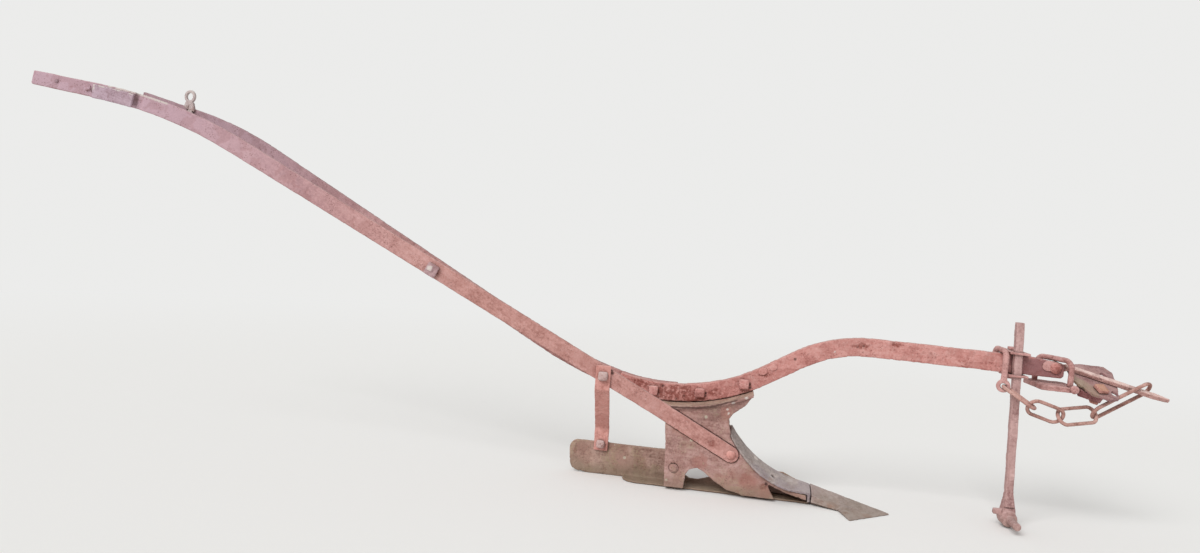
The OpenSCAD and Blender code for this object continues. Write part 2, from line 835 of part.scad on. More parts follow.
module clamp_plate(z) {
    near_y = post_y - post_w / 2 - clamp_near;
    difference() {
        at_beam(post_back)
            translate([-clamp_w / 2, near_y, z])
                cube([clamp_w, clamp_bolt_y + clamp_far - near_y, clamp_t]);
        at_post()
            translate([-post_w / 2 - run, -post_w / 2 - run, z - clamp_t])
                cube([post_w + 2 * run, post_w + 2 * run, 3 * clamp_t]);
        at_beam(post_back)
            translate([0, clamp_bolt_y, z - 1])
                cylinder(h = clamp_t + 2, d = clamp_bolt_d + 2 * run, $fn = round_fn);
    }
}

module clamp_top() {
    color("#a4756c")
        clamp_plate(beam_top + seat);
}

module clamp_bottom() {
    color("#a4756c")
        clamp_plate(-beam_top - seat - clamp_t);
}

module clamp_bolt() {
    face = beam_top + seat + clamp_t + seat;
    color("#96655c")
        at_beam(post_back)
            translate([0, clamp_bolt_y, 0]) {
                cylinder(h = 2 * (face + 8), d = clamp_bolt_d, center = true, $fn = round_fn);
                for (z = [face, -face - 8])
                    translate([-10, -10, z])
                        cube([20, 20, 8]);
            }
}

// Wheel post: square bar with a flared foot, a boss, and the stub that carried the land wheel
foot_w = 28;
flare_low = 40;
flare_high = 76;
stub_len = 60;
boss_d = 36;
boss_z = 20;
post_floor = post_mid[1] / cos(post_lean);
module flare_profile() {
    polygon([[-foot_w / 2, flare_low], [foot_w / 2, flare_low], [post_w / 2, flare_high],
             [-post_w / 2, flare_high]]);
}

module wheel_post() {
    color("#a8766e")
        at_post()
            translate([0, 0, -post_floor])
                difference() {
                    union() {
                        translate([-post_w / 2, -post_w / 2, flare_high - 1])
                            cube([post_w, post_w, post_h - flare_high + 1]);
                        intersection() {
                            between(-foot_w / 2, foot_w / 2)
                                flare_profile();
                            rotate([0, 0, 90])
                                between(-foot_w / 2, foot_w / 2)
                                    flare_profile();
                        }
                        translate([-foot_w / 2, -foot_w / 2, boss_z])
                            cube([foot_w, foot_w, flare_low - boss_z]);
                        rod_y(0, boss_z, -foot_w / 2 - 4, foot_w / 2 + 4, boss_d);
                        translate([-foot_w / 2 - 18, -5, boss_z + 6])
                            cube([20, 10, 14]);
                        rod_y(0, boss_z, -foot_w / 2 - stub_len, -foot_w / 2, stub_d);
                    }
                    translate([0, -foot_w / 2 - stub_len + 8, boss_z - stub_d])
                        cylinder(h = 2 * stub_d, d = 5, $fn = round_fn);
                }
}

// Bow over the beam's end, turned askew, with the plate under the beam that it holds
bow_back = -1.6;
bow_half = 48;
bow_skew = 28.7;
bow_bend = 20;
plate_t = 12;
plate_top = -beam_top - 12;
plate_near = 58;
plate_rear = 42;
plate_front = 42;
plate_corner = 14;
module bow_plate() {
    color("#9a6a62")
        at_beam(bow_back)
            difference() {
                translate([0, 0, plate_top - plate_t])
                    linear_extrude(plate_t) {
                        polygon([[-plate_rear, -plate_near], [plate_front - plate_corner, -plate_near],
                                 [plate_front, -plate_near + plate_corner],
                                 [plate_front, plate_near - plate_corner],
                                 [plate_front - plate_corner, plate_near], [-plate_rear, plate_near]]);
                        for (s = [-1, 1])
                            translate([plate_front - plate_corner, s * (plate_near - plate_corner)])
                                circle(r = plate_corner, $fn = round_fn);
                    }
                rotate([0, 0, bow_skew])
                    for (s = [-1, 1])
                        translate([0, s * bow_half, plate_top - plate_t - 1])
                            cylinder(h = plate_t + 2, d = bow_d + 2 * run, $fn = round_fn);
            }
}

// The bow's bar lies on the sloping top of the beam's tip, to the nearest tenth of a millimetre
bow_high = tip_top(bow_back + beam_half * tan(bow_skew)) + (seat + bow_d / 2) / cos(atan(tip_slope));
bow_top = ceil(10 * bow_high) / 10;
module end_bow() {
    color("#ab7a71")
        at_beam(bow_back)
            rotate([0, 0, bow_skew])
                stirrup(bow_half, bow_top, plate_top - plate_t, plate_top - plate_t, bow_d, bow_bend);
}

module beam_pin() {
    color("#b07f75") {
        rod_y(pin_at[0], pin_at[1], -beam_half - 3, beam_half + 3, pin_d);
        translate([pin_at[0], -beam_half - seat, pin_at[1]])
            rotate([90, 0, 0])
                dome(14, 8);
        translate([pin_at[0], beam_half + seat, pin_at[1]])
            rotate([-90, 0, 0])
                dome(13, 7);
    }
}

// Hake: a fan plate rolled to the right under the draught rod
hake_at = [beam_end[0] + beam_tip_len + 4, 0, beam_end[1] + 0.3];
hake_rear = 6;
hake_len = 114;
hake_holes = [[90, 29], [103, -33]];
hake_hole_d = 14;
hake_bolt_at = [70, -41];
hake_bolt_d = 12;
module at_hake() {
    translate(hake_at)
        rotate([0, hake_droop, 0])
            rotate([hake_roll, 0, 0])
                children();
}

module hake() {
    side = hake_w / 2;
    color("#8f8a78")
        at_hake()
            difference() {
                translate([0, 0, -hake_t])
                    linear_extrude(hake_t)
                        polygon([[hake_rear + 4, -30], [38, 13 - side], [52, 3 - side],
                                 [hake_len - 24, 5 - side], [hake_len - 4, 17 - side],
                                 [hake_len + 2, 0], [hake_len, side - 15], [hake_len - 18, side - 1],
                                 [38, 43], [hake_rear, 22]]);
                for (hole = hake_holes)
                    translate([hole[0], hole[1], -hake_t - 1])
                        cylinder(h = hake_t + 2, d = hake_hole_d, $fn = round_fn);
                translate([hake_bolt_at[0], hake_bolt_at[1], -hake_t - 1])
                    cylinder(h = hake_t + 2, d = hake_bolt_d + 2 * run, $fn = round_fn);
            }
}

lower_t = 17;
lower_size = [50, 34];
module hake_lower() {
    color("#8a4f48")
        at_hake()
            difference() {
                translate([hake_rear + 24, 13 - hake_w / 2, -hake_t - seat - lower_t])
                    cube([lower_size[0], lower_size[1], lower_t]);
                translate([hake_bolt_at[0], hake_bolt_at[1], -hake_t - seat - lower_t - 1])
                    cylinder(h = lower_t + 2, d = hake_bolt_d + 2 * run, $fn = round_fn);
            }
}

module hake_bolt() {
    low = -hake_t - lower_t - 2 * seat;
    color("#a86a50")
        at_hake()
            translate([hake_bolt_at[0], hake_bolt_at[1], 0]) {
                translate([0, 0, low - 10])
                    cylinder(h = 16 - low, d = hake_bolt_d, $fn = round_fn);
                rotate([0, 0, 25])
                    translate([-head_w / 2, -head_w / 2, seat])
                        cube([head_w, head_w, head_t]);
                translate([-9, -9, low - 8])
                    cube([18, 18, 8]);
            }
}

// Draught rod: flat bar with a pointed end, and an upright tongue that is pinned in the fork
rod_past_hake = 109;
rod_len = hake_len + rod_past_hake;
rod_t = 10;
rod_point = 34;
module draught_rod() {
    color("#b98b82")
        difference() {
            union() {
                at_hake()
                    translate([0, 0, seat])
                        linear_extrude(rod_t)
                            polygon([[-2, -rod_w / 2], [rod_len - rod_point, -rod_w / 2], [rod_len, -2],
                                     [rod_len, 2], [rod_len - rod_point, rod_w / 2], [-2, rod_w / 2]]);
                between(-tongue_t / 2, tongue_t / 2) {
                    translate(pin_at)
                        circle(r = pin_d / 2 + 8, $fn = round_fn);
                    polygon([[pin_at[0], pin_at[1] + 9], [pin_at[0], pin_at[1] - 14],
                             [hake_at[0] + 4, hake_at[2] - 4], [hake_at[0] + 4, hake_at[2] + rod_t]]);
                }
            }
            rod_y(pin_at[0], pin_at[1], -tongue_t, tongue_t, pin_d + 2 * run);
        }
}

// Chain link with its axis along x from the first end, centre of wire to centre of wire
module link(length, width) {
    half = (width - wire_d) / 2;
    for (s = [0, 1])
        translate([s == 0 ? half : length - half, 0, 0])
            rotate([0, 0, s == 0 ? 90 : -90])
                rotate_extrude(angle = 180, $fn = round_fn)
                    translate([half, 0])
                        circle(d = wire_d, $fn = 24);
    for (s = [-1, 1])
        translate([half, s * half, 0])
            rotate([0, 90, 0])
                cylinder(h = length - 2 * half, d = wire_d, $fn = 24);
}

// The links bear on each other at these points, from the near eye of the shackle to the point of the
// rod: the first three lie from the beam's end, the last two from the middle of the hake's front edge
tip_at = [beam_end[0], 0, beam_end[1]];
hake_front = hake_at + hake_len * [cos(hake_droop), 0, -sin(hake_droop)];
bearings = [
    tip_at + [-112, -42.3, -46.6], tip_at + [-58.7, -67.6, -81.4], tip_at + [4.7, -57.6, -100.7],
    hake_front + [-48.6, -17.1, -65.2], hake_front + [69.1, 5.7, 5.7]
];

// Links: width, roll about the own axis, and how far the wire's middle passes the two bearings
link_rows = [
    [30, 0, 0, 6.9],
    [43, 116, 6.9, 4.5],
    [43, 59, 4.5, 4.3],
    [46, 132, 4.3, 0]
];
module placed_link(k) {
    row = link_rows[k];
    way = bearings[k + 1] - bearings[k];
    color("#9c6c5e")
        translate(bearings[k])
            rotate([0, -atan2(way[2], norm([way[0], way[1]])), atan2(way[1], way[0])])
                rotate([row[1], 0, 0])
                    translate([-row[2], 0, 0])
                        link(norm(way) + row[2] + row[3], row[0]);
}
module chain_link_1() { placed_link(0); }
module chain_link_2() { placed_link(1); }
module chain_link_3() { placed_link(2); }
module chain_link_4() { placed_link(3); }

beam();
left_stilt();
right_stilt();
left_splice();
right_splice();
rein_eye();
cross_stay();
upright_stay();
stay_bolts();
frame();
beam_bolts();
stilt_bolt();
breast_strip();
share();
slade();
slade_bolts();
beam_shackle();
clamp_top();
clamp_bottom();
clamp_bolt();
wheel_post();
end_bow();
bow_plate();
beam_pin();
hake();
hake_lower();
hake_bolt();
draught_rod();
chain_link_1();
chain_link_2();
chain_link_3();
chain_link_4();
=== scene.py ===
"""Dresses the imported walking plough: worn iron surfaces, rust, lichen and small fasteners."""

import json
import math

import bmesh
import bpy
import numpy as np
from mathutils import Matrix, Vector
from mathutils.bvhtree import BVHTree


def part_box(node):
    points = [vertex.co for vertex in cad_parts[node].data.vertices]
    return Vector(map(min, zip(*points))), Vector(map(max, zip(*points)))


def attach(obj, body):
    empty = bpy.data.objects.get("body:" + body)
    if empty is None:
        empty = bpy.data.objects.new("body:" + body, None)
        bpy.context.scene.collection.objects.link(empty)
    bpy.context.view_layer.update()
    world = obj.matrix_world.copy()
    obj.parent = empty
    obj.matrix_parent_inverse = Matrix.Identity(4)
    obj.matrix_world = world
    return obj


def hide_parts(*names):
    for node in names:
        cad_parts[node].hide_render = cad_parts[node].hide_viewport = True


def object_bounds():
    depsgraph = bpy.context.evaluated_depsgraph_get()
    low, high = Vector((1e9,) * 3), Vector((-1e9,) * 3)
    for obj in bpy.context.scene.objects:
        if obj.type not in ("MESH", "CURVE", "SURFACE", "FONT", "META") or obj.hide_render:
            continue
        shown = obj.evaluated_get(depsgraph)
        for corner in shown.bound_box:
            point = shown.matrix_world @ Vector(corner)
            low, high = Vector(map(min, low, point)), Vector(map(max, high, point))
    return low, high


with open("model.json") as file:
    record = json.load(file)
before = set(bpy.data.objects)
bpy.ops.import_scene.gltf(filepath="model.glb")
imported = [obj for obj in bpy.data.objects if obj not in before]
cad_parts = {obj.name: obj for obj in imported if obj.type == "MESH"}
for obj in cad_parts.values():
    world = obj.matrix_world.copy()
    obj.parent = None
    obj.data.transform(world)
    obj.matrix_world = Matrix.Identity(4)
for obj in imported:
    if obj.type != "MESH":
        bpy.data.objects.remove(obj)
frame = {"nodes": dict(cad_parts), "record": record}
cad_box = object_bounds()
scene = bpy.context.scene
MM = 0.001

# Camera at the photograph's viewing angle, in the plough's own frame
CAMERA_AT = Vector((34.1, -2070.0, 550.5)) * MM
CAMERA_PITCH = math.radians(1.939)
CAMERA_YAW = math.radians(-8.668)
CAMERA_ROLL = math.radians(4.551)
CAMERA_CLIP = (0.05, 60)
PICTURE = (1200, 553)
FOCAL_PX = 870
SENSOR_MM = 36.0

AHEAD = Vector((
    math.sin(CAMERA_YAW) * math.cos(CAMERA_PITCH),
    math.cos(CAMERA_YAW) * math.cos(CAMERA_PITCH),
    -math.sin(CAMERA_PITCH),
))
LEVEL = Vector((math.cos(CAMERA_YAW), -math.sin(CAMERA_YAW), 0))
UPRIGHT = LEVEL.cross(AHEAD)
RIGHT = LEVEL * math.cos(CAMERA_ROLL) + UPRIGHT * math.sin(CAMERA_ROLL)
UP = UPRIGHT * math.cos(CAMERA_ROLL) - LEVEL * math.sin(CAMERA_ROLL)

# A line of sight that misses its node is tried at points along it, in metres from the camera
MISS_FROM, MISS_STEP, MISS_TRIES = 1.4, 0.02, 90


def add_camera():
    data = bpy.data.cameras.new("photo_view")
    data.sensor_width = SENSOR_MM
    data.lens = SENSOR_MM * FOCAL_PX / PICTURE[0]
    data.clip_start, data.clip_end = CAMERA_CLIP
    camera = bpy.data.objects.new("photo_view", data)
    scene.collection.objects.link(camera)
    axes = Matrix((RIGHT, UP, -AHEAD)).transposed().to_4x4()
    camera.matrix_world = Matrix.Translation(CAMERA_AT) @ axes
    scene.camera = camera


def sight(px, py):
    """The line of sight through a point of the 1200 by 553 picture."""
    way = AHEAD * FOCAL_PX + RIGHT * (px - PICTURE[0] / 2) - UP * (py - PICTURE[1] / 2)
    return CAMERA_AT, way.normalized()


face_trees = {}


def faces_of(node):
    """The search tree of a CAD node's faces, made once."""
    if node not in face_trees:
        mesh = frame["nodes"][node].data
        corners = [vertex.co for vertex in mesh.vertices]
        face_trees[node] = BVHTree.FromPolygons(corners, [face.vertices for face in mesh.polygons])
    return face_trees[node]


def seat(node, start, way):
    """Where a line first meets a CAD node, or else comes nearest to it, and the way its face looks there."""
    at, normal, _, _ = faces_of(node).ray_cast(start, way)
    if at is None:
        along = [start + way * (MISS_FROM + MISS_STEP * k) for k in range(MISS_TRIES)]
        nearest = [faces_of(node).find_nearest(point) for point in along]
        at, normal, _, _ = min(nearest, key=lambda found: found[3])
    return at, normal


# Plain light: a pale sky all round and one soft lamp from the upper left
SKY = (0.90, 0.90, 0.89, 1)
SKY_LEVEL = 0.57
SKY_SEEN = 0.93
LAMP_LEVEL = 1.9
LAMP_SOFTNESS = math.radians(35)
LAMP_FROM = Vector((-0.5, -0.95, 0.9))
FLOOR_COLOUR, FLOOR_ROUGHNESS, FLOOR_SPECULAR = (0.90, 0.895, 0.88, 1), 0.95, 0.1
# Half the floor's side, and how far out it fades to the sky's colour, in metres
FLOOR_HALF = 40
FLOOR_FADE = (1.6, 5.0)


def sees_background(tree):
    """1 for the rays that show the pale background: camera, glossy and transmission rays."""
    path = tree.nodes.new("ShaderNodeLightPath")
    seen = path.outputs["Is Camera Ray"]
    for kind in ("Is Glossy Ray", "Is Transmission Ray"):
        either = tree.nodes.new("ShaderNodeMath")
        either.operation = "MAXIMUM"
        tree.links.new(seen, either.inputs[0])
        tree.links.new(path.outputs[kind], either.inputs[1])
        seen = either.outputs[0]
    return seen


def add_light():
    world = bpy.data.worlds.new("sky")
    world.use_nodes = True
    tree = world.node_tree
    tree.nodes.clear()
    out = tree.nodes.new("ShaderNodeOutputWorld")
    mix = tree.nodes.new("ShaderNodeMixShader")
    tree.links.new(sees_background(tree), mix.inputs["Fac"])
    for side, level in ((1, SKY_LEVEL), (2, SKY_SEEN)):
        sky = tree.nodes.new("ShaderNodeBackground")
        sky.inputs["Color"].default_value = SKY
        sky.inputs["Strength"].default_value = level
        tree.links.new(sky.outputs[0], mix.inputs[side])
    tree.links.new(mix.outputs[0], out.inputs["Surface"])
    scene.world = world

    lamp = bpy.data.lights.new("key", "SUN")
    lamp.energy = LAMP_LEVEL
    lamp.angle = LAMP_SOFTNESS
    key = bpy.data.objects.new("key", lamp)
    key.rotation_mode = "QUATERNION"
    key.rotation_quaternion = (-LAMP_FROM).to_track_quat("-Z", "Y")
    scene.collection.objects.link(key)


class Nodes:
    """Short calls for one material's node tree."""

    def __init__(self, name):
        self.material = bpy.data.materials.new(name)
        self.material.use_nodes = True
        self.tree = self.material.node_tree
        self.shader = self.tree.nodes["Principled BSDF"]

    def add(self, kind, **settings):
        node = self.tree.nodes.new(kind)
        for key, value in settings.items():
            setattr(node, key, value)
        return node

    def link(self, source, target):
        self.tree.links.new(source, target)

    def put(self, value, target):
        """Sets a socket to a colour or a number, or links it."""
        if isinstance(value, tuple):
            target.default_value = (*value, 1)
        elif isinstance(value, (int, float)):
            target.default_value = value
        else:
            self.link(value, target)

    def noise(self, at, scale, detail, rough):
        node = self.add("ShaderNodeTexNoise")
        node.inputs["Scale"].default_value = scale
        node.inputs["Detail"].default_value = detail
        node.inputs["Roughness"].default_value = rough
        self.link(at, node.inputs["Vector"])
        return node.outputs["Fac"]

    def cells(self, at, scale):
        node = self.add("ShaderNodeTexVoronoi")
        node.inputs["Scale"].default_value = scale
        self.link(at, node.inputs["Vector"])
        return node.outputs

    def spread(self, value, low, high, to_low=0.0, to_high=1.0):
        """A smooth step between two levels, which also falls where low is above high."""
        node = self.add("ShaderNodeMapRange", interpolation_type="SMOOTHSTEP")
        node.inputs["From Min"].default_value = low
        node.inputs["From Max"].default_value = high
        node.inputs["To Min"].default_value = to_low
        node.inputs["To Max"].default_value = to_high
        self.link(value, node.inputs["Value"])
        return node.outputs["Result"]

    def layer(self, at, kind, share=0.0):
        """Where a noise layer shows, over more of the surface with a larger share."""
        noise, (low, high) = kind
        return self.spread(self.noise(at, *noise), low - share, high - share)

    def math(self, kind, a, b):
        node = self.add("ShaderNodeMath", operation=kind)
        self.put(a, node.inputs[0])
        self.put(b, node.inputs[1])
        return node.outputs[0]

    def times(self, a, b):
        return self.math("MULTIPLY", a, b)

    def mix(self, amount, a, b):
        node = self.add("ShaderNodeMix", data_type="RGBA")
        colours = {socket.name: socket for socket in node.inputs if socket.type == "RGBA"}
        self.put(amount, node.inputs["Factor"])
        self.put(a, colours["A"])
        self.put(b, colours["B"])
        return [socket for socket in node.outputs if socket.type == "RGBA"][0]

    def cover(self, colour, mask, amount, paint):
        """The colour with a paint over it where the mask is, and as fully as the amount says."""
        return self.mix(self.times(mask, amount), colour, paint)

    def axis(self, vector, name):
        node = self.add("ShaderNodeSeparateXYZ")
        self.link(vector, node.inputs[0])
        return node.outputs[name]

    def mark(self, name):
        """A mark that the worn mesh carries at its points."""
        return self.add("ShaderNodeAttribute", attribute_name=name).outputs["Fac"]

    def turned(self, at, angle, scale):
        """Coordinates turned about Y by an angle, then stretched, so that marks run along a bar."""
        turn = self.add("ShaderNodeVectorRotate", rotation_type="Y_AXIS")
        turn.inputs["Angle"].default_value = math.radians(angle)
        self.link(at, turn.inputs["Vector"])
        size = self.add("ShaderNodeVectorMath", operation="MULTIPLY")
        size.inputs[1].default_value = scale
        self.link(turn.outputs[0], size.inputs[0])
        return size.outputs[0]


def linear(code):
    """Colour code as written on screen, to the linear values that the shader wants."""
    parts = [int(code[k:k + 2], 16) / 255 for k in (1, 3, 5)]
    return tuple(p / 12.92 if p <= 0.04045 else ((p + 0.055) / 1.055) ** 2.4 for p in parts)


# Noises of the finishes: scale per metre, detail, roughness
PATCH = (40, 6, 0.68)
GRAIN = (210, 5, 0.78)
STREAK = (1.0, 4, 0.65)
STREAK_STRETCH = (26, 150, 150)
SOIL_EDGE = (24, 4, 0.6)
# Layers of the finishes: a noise, and the levels between which the layer sets in
BROAD = ((13, 4, 0.62), (0.50, 0.60))
MOSSY = ((17, 5, 0.7), (0.50, 0.62))
FLAKED = ((52, 6, 0.74), (0.66, 0.68))
FLAKED_AREA = ((11, 3, 0.5), (0.42, 0.56))
RAW = ((120, 5, 0.75), (0.42, 0.53))
FRECKLED = ((150, 5, 0.78), (0.61, 0.66))
CRUSTED = ((75, 6, 0.75), (0.70, 0.74))
GLINTING = ((175, 5, 0.8), (0.60, 0.66))
PITTED_AREA = ((26, 3, 0.5), (0.49, 0.60))
DRIFT_DETAIL, DRIFT_ROUGH = 5, 0.6
PIT_SCALE, PIT_SIZE = 230, (0.06, 0.40)
SPECK_SCALE, SPECK_SIZE, SPECK_CHANCE = 38, (0.17, 0.11), (0.80, 0.84)
# Levels between which a mask sets in, and what it then goes from and to where that isn't 0 and 1
MOSS_GRAIN, CRUST_GRAIN = (0.40, 0.60), (0.38, 0.55)
# The crowded levels are where the painted shade in crannies sets in
EDGE, HOLLOW, CROWDED_SHADE = (0.515, 0.60), (0.485, 0.40), (0.80, 0.30)
# Normal heights where upper faces take pale bloom as dust and painted highlight, and downward faces take
# painted shade
FACING_UP, FACING_DOWN = (0.35, 0.95), (-0.35, -0.95)
DUSTY_PATCH, PALE_PATCH, ROUGH_PATCH = (0.35, 0.60, 0.45, 1.0), (0.30, 0.48, 0.5, 1.0), (0.3, 0.7, 0.76, 0.96)
# The tone sums drift, patch, streak and grain by these shares, and reads a ramp of dark, mid and light
TONE_SHARES = (0.24, 0.26, 0.20, 0.30)
TONE_STOPS = (0.405, 0.495, 0.60)
# How fully each layer covers what lies under it
COVER = {
    "blotch": 0.65, "moss": 0.5, "rear": 0.8, "tint": 0.7, "raw": 0.8, "scaled": 0.45, "freckle": 0.5,
    "crust": 0.62, "glint": 0.38, "pit": 0.5, "hollow": 0.75, "underside": 0.45, "speck": 0.75,
    "pale": 0.85, "dark": 0.85,
}
# Shared colours: soil at the foot; pale for lichen and specks and for painted highlights along lines; dark
# for painted shadows and a few dark spots; cranny for painted shade with grime in crannies
SOIL, PALE_AND_HIGHLIGHT, DARK_SHADOW_AND_STAIN, CRANNY_GRIME_AND_SHADE = (linear(code) for code in ("#7d6f5c", "#d3c9c2", "#4a332e", "#563d36"))
# The rear end lies between these lengths along the plough, and the soil's edge between these heights
REAR = (-0.55, -1.45)
SOIL_HEIGHT, SOIL_WAVES = (0.02, -0.02), -0.05
SPECULAR = 0.3
# The bump adds patch and grain and takes off pits and flakes, by these shares
PATCH_RISE, GRAIN_RISE, PIT_DROP, FLAKE_DROP = 0.55, 0.35, 0.8, 0.25
BUMP_STRENGTH, BUMP_HEIGHT = 0.75, 0.0017
CROWDED_SAMPLES = 8


def old_iron(name, tones, scale, scale_share, bloom, bloom_share, lie=0.0, speck=None, tint=None,
             soil=0.0, top_dust_and_light=0.35, cool=None, drift_size=7.0, blotch=None, moss=None,
             edge_light=0.4, grime_and_shade=0.55, reach=11, patchy=0.55):
    """Weathered iron: drifting tones, streaks along the bar, flaked dark rust, pale bloom, pits and dirt.

    tones are dark, mid and light; scale is the dark flaked rust and bloom the pale crust, each with its
    share; lie turns the streaks; speck is the colour of lichen spots; tint colours the marked places;
    soil is how fully the foot is soiled and top how fully bloom lies on upper faces, as dust and as a
    painted highlight; cool is the colour that the bar drifts to at its rear end; drift_size is the scale
    of the broad drift; blotch is a second broad tone; moss is the colour of mossy places; edge_light shows
    the edges; grime darkens the crannies as far as reach, in millimetres, as painted shade with some grime;
    patchy is how fully the flaked rust covers.
    """
    dark, mid, light = (linear(code) for code in tones)
    scale, bloom = linear(scale), linear(bloom)
    n = Nodes(name)
    at = n.add("ShaderNodeTexCoord").outputs["Object"]
    geometry = n.add("ShaderNodeNewGeometry").outputs
    patch = n.noise(at, *PATCH)
    grain = n.noise(at, *GRAIN)
    streak = n.noise(n.turned(at, lie, STREAK_STRETCH), *STREAK)
    tone = n.times(n.noise(at, drift_size, DRIFT_DETAIL, DRIFT_ROUGH), TONE_SHARES[0])
    for part, share in zip((patch, streak, grain), TONE_SHARES[1:]):
        tone = n.math("ADD", tone, n.times(part, share))
    ramp = n.add("ShaderNodeValToRGB")
    stops = ramp.color_ramp.elements
    stops[0].position, stops[0].color = TONE_STOPS[0], (*dark, 1)
    stops[1].position, stops[1].color = TONE_STOPS[2], (*light, 1)
    stops.new(TONE_STOPS[1]).color = (*mid, 1)
    n.link(tone, ramp.inputs["Fac"])
    colour = ramp.outputs["Color"]

    if blotch:
        colour = n.cover(colour, n.layer(at, BROAD), COVER["blotch"], linear(blotch))
    if moss:
        green = n.times(n.layer(at, MOSSY), n.spread(grain, *MOSS_GRAIN))
        colour = n.cover(colour, green, COVER["moss"], linear(moss))
    if cool:
        colour = n.cover(colour, n.spread(n.axis(at, "X"), *REAR), COVER["rear"], linear(cool))
    if tint:
        colour = n.cover(colour, n.mark("tint"), COVER["tint"], linear(tint))

    flaked = n.times(n.times(n.layer(at, FLAKED, scale_share), n.layer(at, FLAKED_AREA)), patchy)
    raw = n.times(n.mark("raw"), n.layer(at, RAW))
    flaked = n.math("MAXIMUM", flaked, n.times(raw, COVER["raw"]))
    flaked = n.math("MAXIMUM", flaked, n.times(n.mark("scaled"), patchy * COVER["scaled"]))
    flaked = n.math("MAXIMUM", flaked, n.times(n.layer(at, FRECKLED), COVER["freckle"]))
    colour = n.mix(flaked, colour, scale)

    crust = n.times(n.layer(at, CRUSTED, bloom_share), n.spread(grain, *CRUST_GRAIN))
    colour = n.cover(colour, crust, COVER["crust"], bloom)
    colour = n.cover(colour, n.layer(at, GLINTING), COVER["glint"], bloom)
    holes = n.spread(n.cells(at, PIT_SCALE)["Distance"], *PIT_SIZE)
    pits = n.times(n.math("SUBTRACT", 1.0, holes), n.layer(at, PITTED_AREA))
    colour = n.cover(colour, pits, COVER["pit"], dark)

    colour = n.cover(colour, n.spread(geometry["Pointiness"], *EDGE), edge_light, light)
    colour = n.cover(colour, n.spread(geometry["Pointiness"], *HOLLOW), COVER["hollow"], dark)
    facing = n.axis(geometry["Normal"], "Z")
    # Upper faces paled with the bloom colour: settled dust and a painted highlight of the light from above
    dust_and_top_light = n.times(n.spread(facing, *FACING_UP), n.spread(patch, *DUSTY_PATCH))
    colour = n.cover(colour, dust_and_top_light, top_dust_and_light, bloom)
    # Downward faces darkened to the dark tone: painted shade
    colour = n.cover(colour, n.spread(facing, *FACING_DOWN), COVER["underside"], dark)

    if speck:
        spots = n.cells(at, SPECK_SCALE)
        chance = n.add("ShaderNodeSeparateColor")
        n.link(spots["Color"], chance.inputs[0])
        spot = n.times(n.spread(spots["Distance"], *SPECK_SIZE), n.spread(chance.outputs[0], *SPECK_CHANCE))
        colour = n.cover(colour, spot, COVER["speck"], linear(speck))
    if soil:
        height = n.math("ADD", n.axis(at, "Z"), n.times(n.noise(at, *SOIL_EDGE), SOIL_WAVES))
        colour = n.cover(colour, n.spread(height, *SOIL_HEIGHT), soil, SOIL)

    # Pale marks: lichen and pale specks, and the painted highlights along the painted lines
    pale = n.times(n.mark("pale"), n.spread(patch, *PALE_PATCH))
    colour = n.cover(colour, pale, COVER["pale"], PALE_AND_HIGHLIGHT)
    # Dark marks: mostly painted shadows beside raised parts and in recesses, and along the painted lines
    colour = n.cover(colour, n.mark("dark"), COVER["dark"], DARK_SHADOW_AND_STAIN)
    # Crannies near other surfaces, found by ambient occlusion, are darkened to the cranny colour: painted
    # shade, with some grime
    near = n.add("ShaderNodeAmbientOcclusion", samples=CROWDED_SAMPLES)
    near.inputs["Distance"].default_value = reach * MM
    colour = n.cover(colour, n.spread(near.outputs["AO"], *CROWDED_SHADE), grime_and_shade, CRANNY_GRIME_AND_SHADE)
    n.link(colour, n.shader.inputs["Base Color"])

    n.link(n.spread(patch, *ROUGH_PATCH), n.shader.inputs["Roughness"])
    n.shader.inputs["Specular IOR Level"].default_value = SPECULAR
    rise = n.math("ADD", n.times(patch, PATCH_RISE), n.times(grain, GRAIN_RISE))
    rise = n.math("SUBTRACT", rise, n.times(pits, PIT_DROP))
    rise = n.math("SUBTRACT", rise, n.times(flaked, FLAKE_DROP))
    bump = n.add("ShaderNodeBump")
    bump.inputs["Strength"].default_value = BUMP_STRENGTH
    bump.inputs["Distance"].default_value = BUMP_HEIGHT
    n.link(rise, bump.inputs["Height"])
    n.link(bump.outputs[0], n.shader.inputs["Normal"])
    return n.material


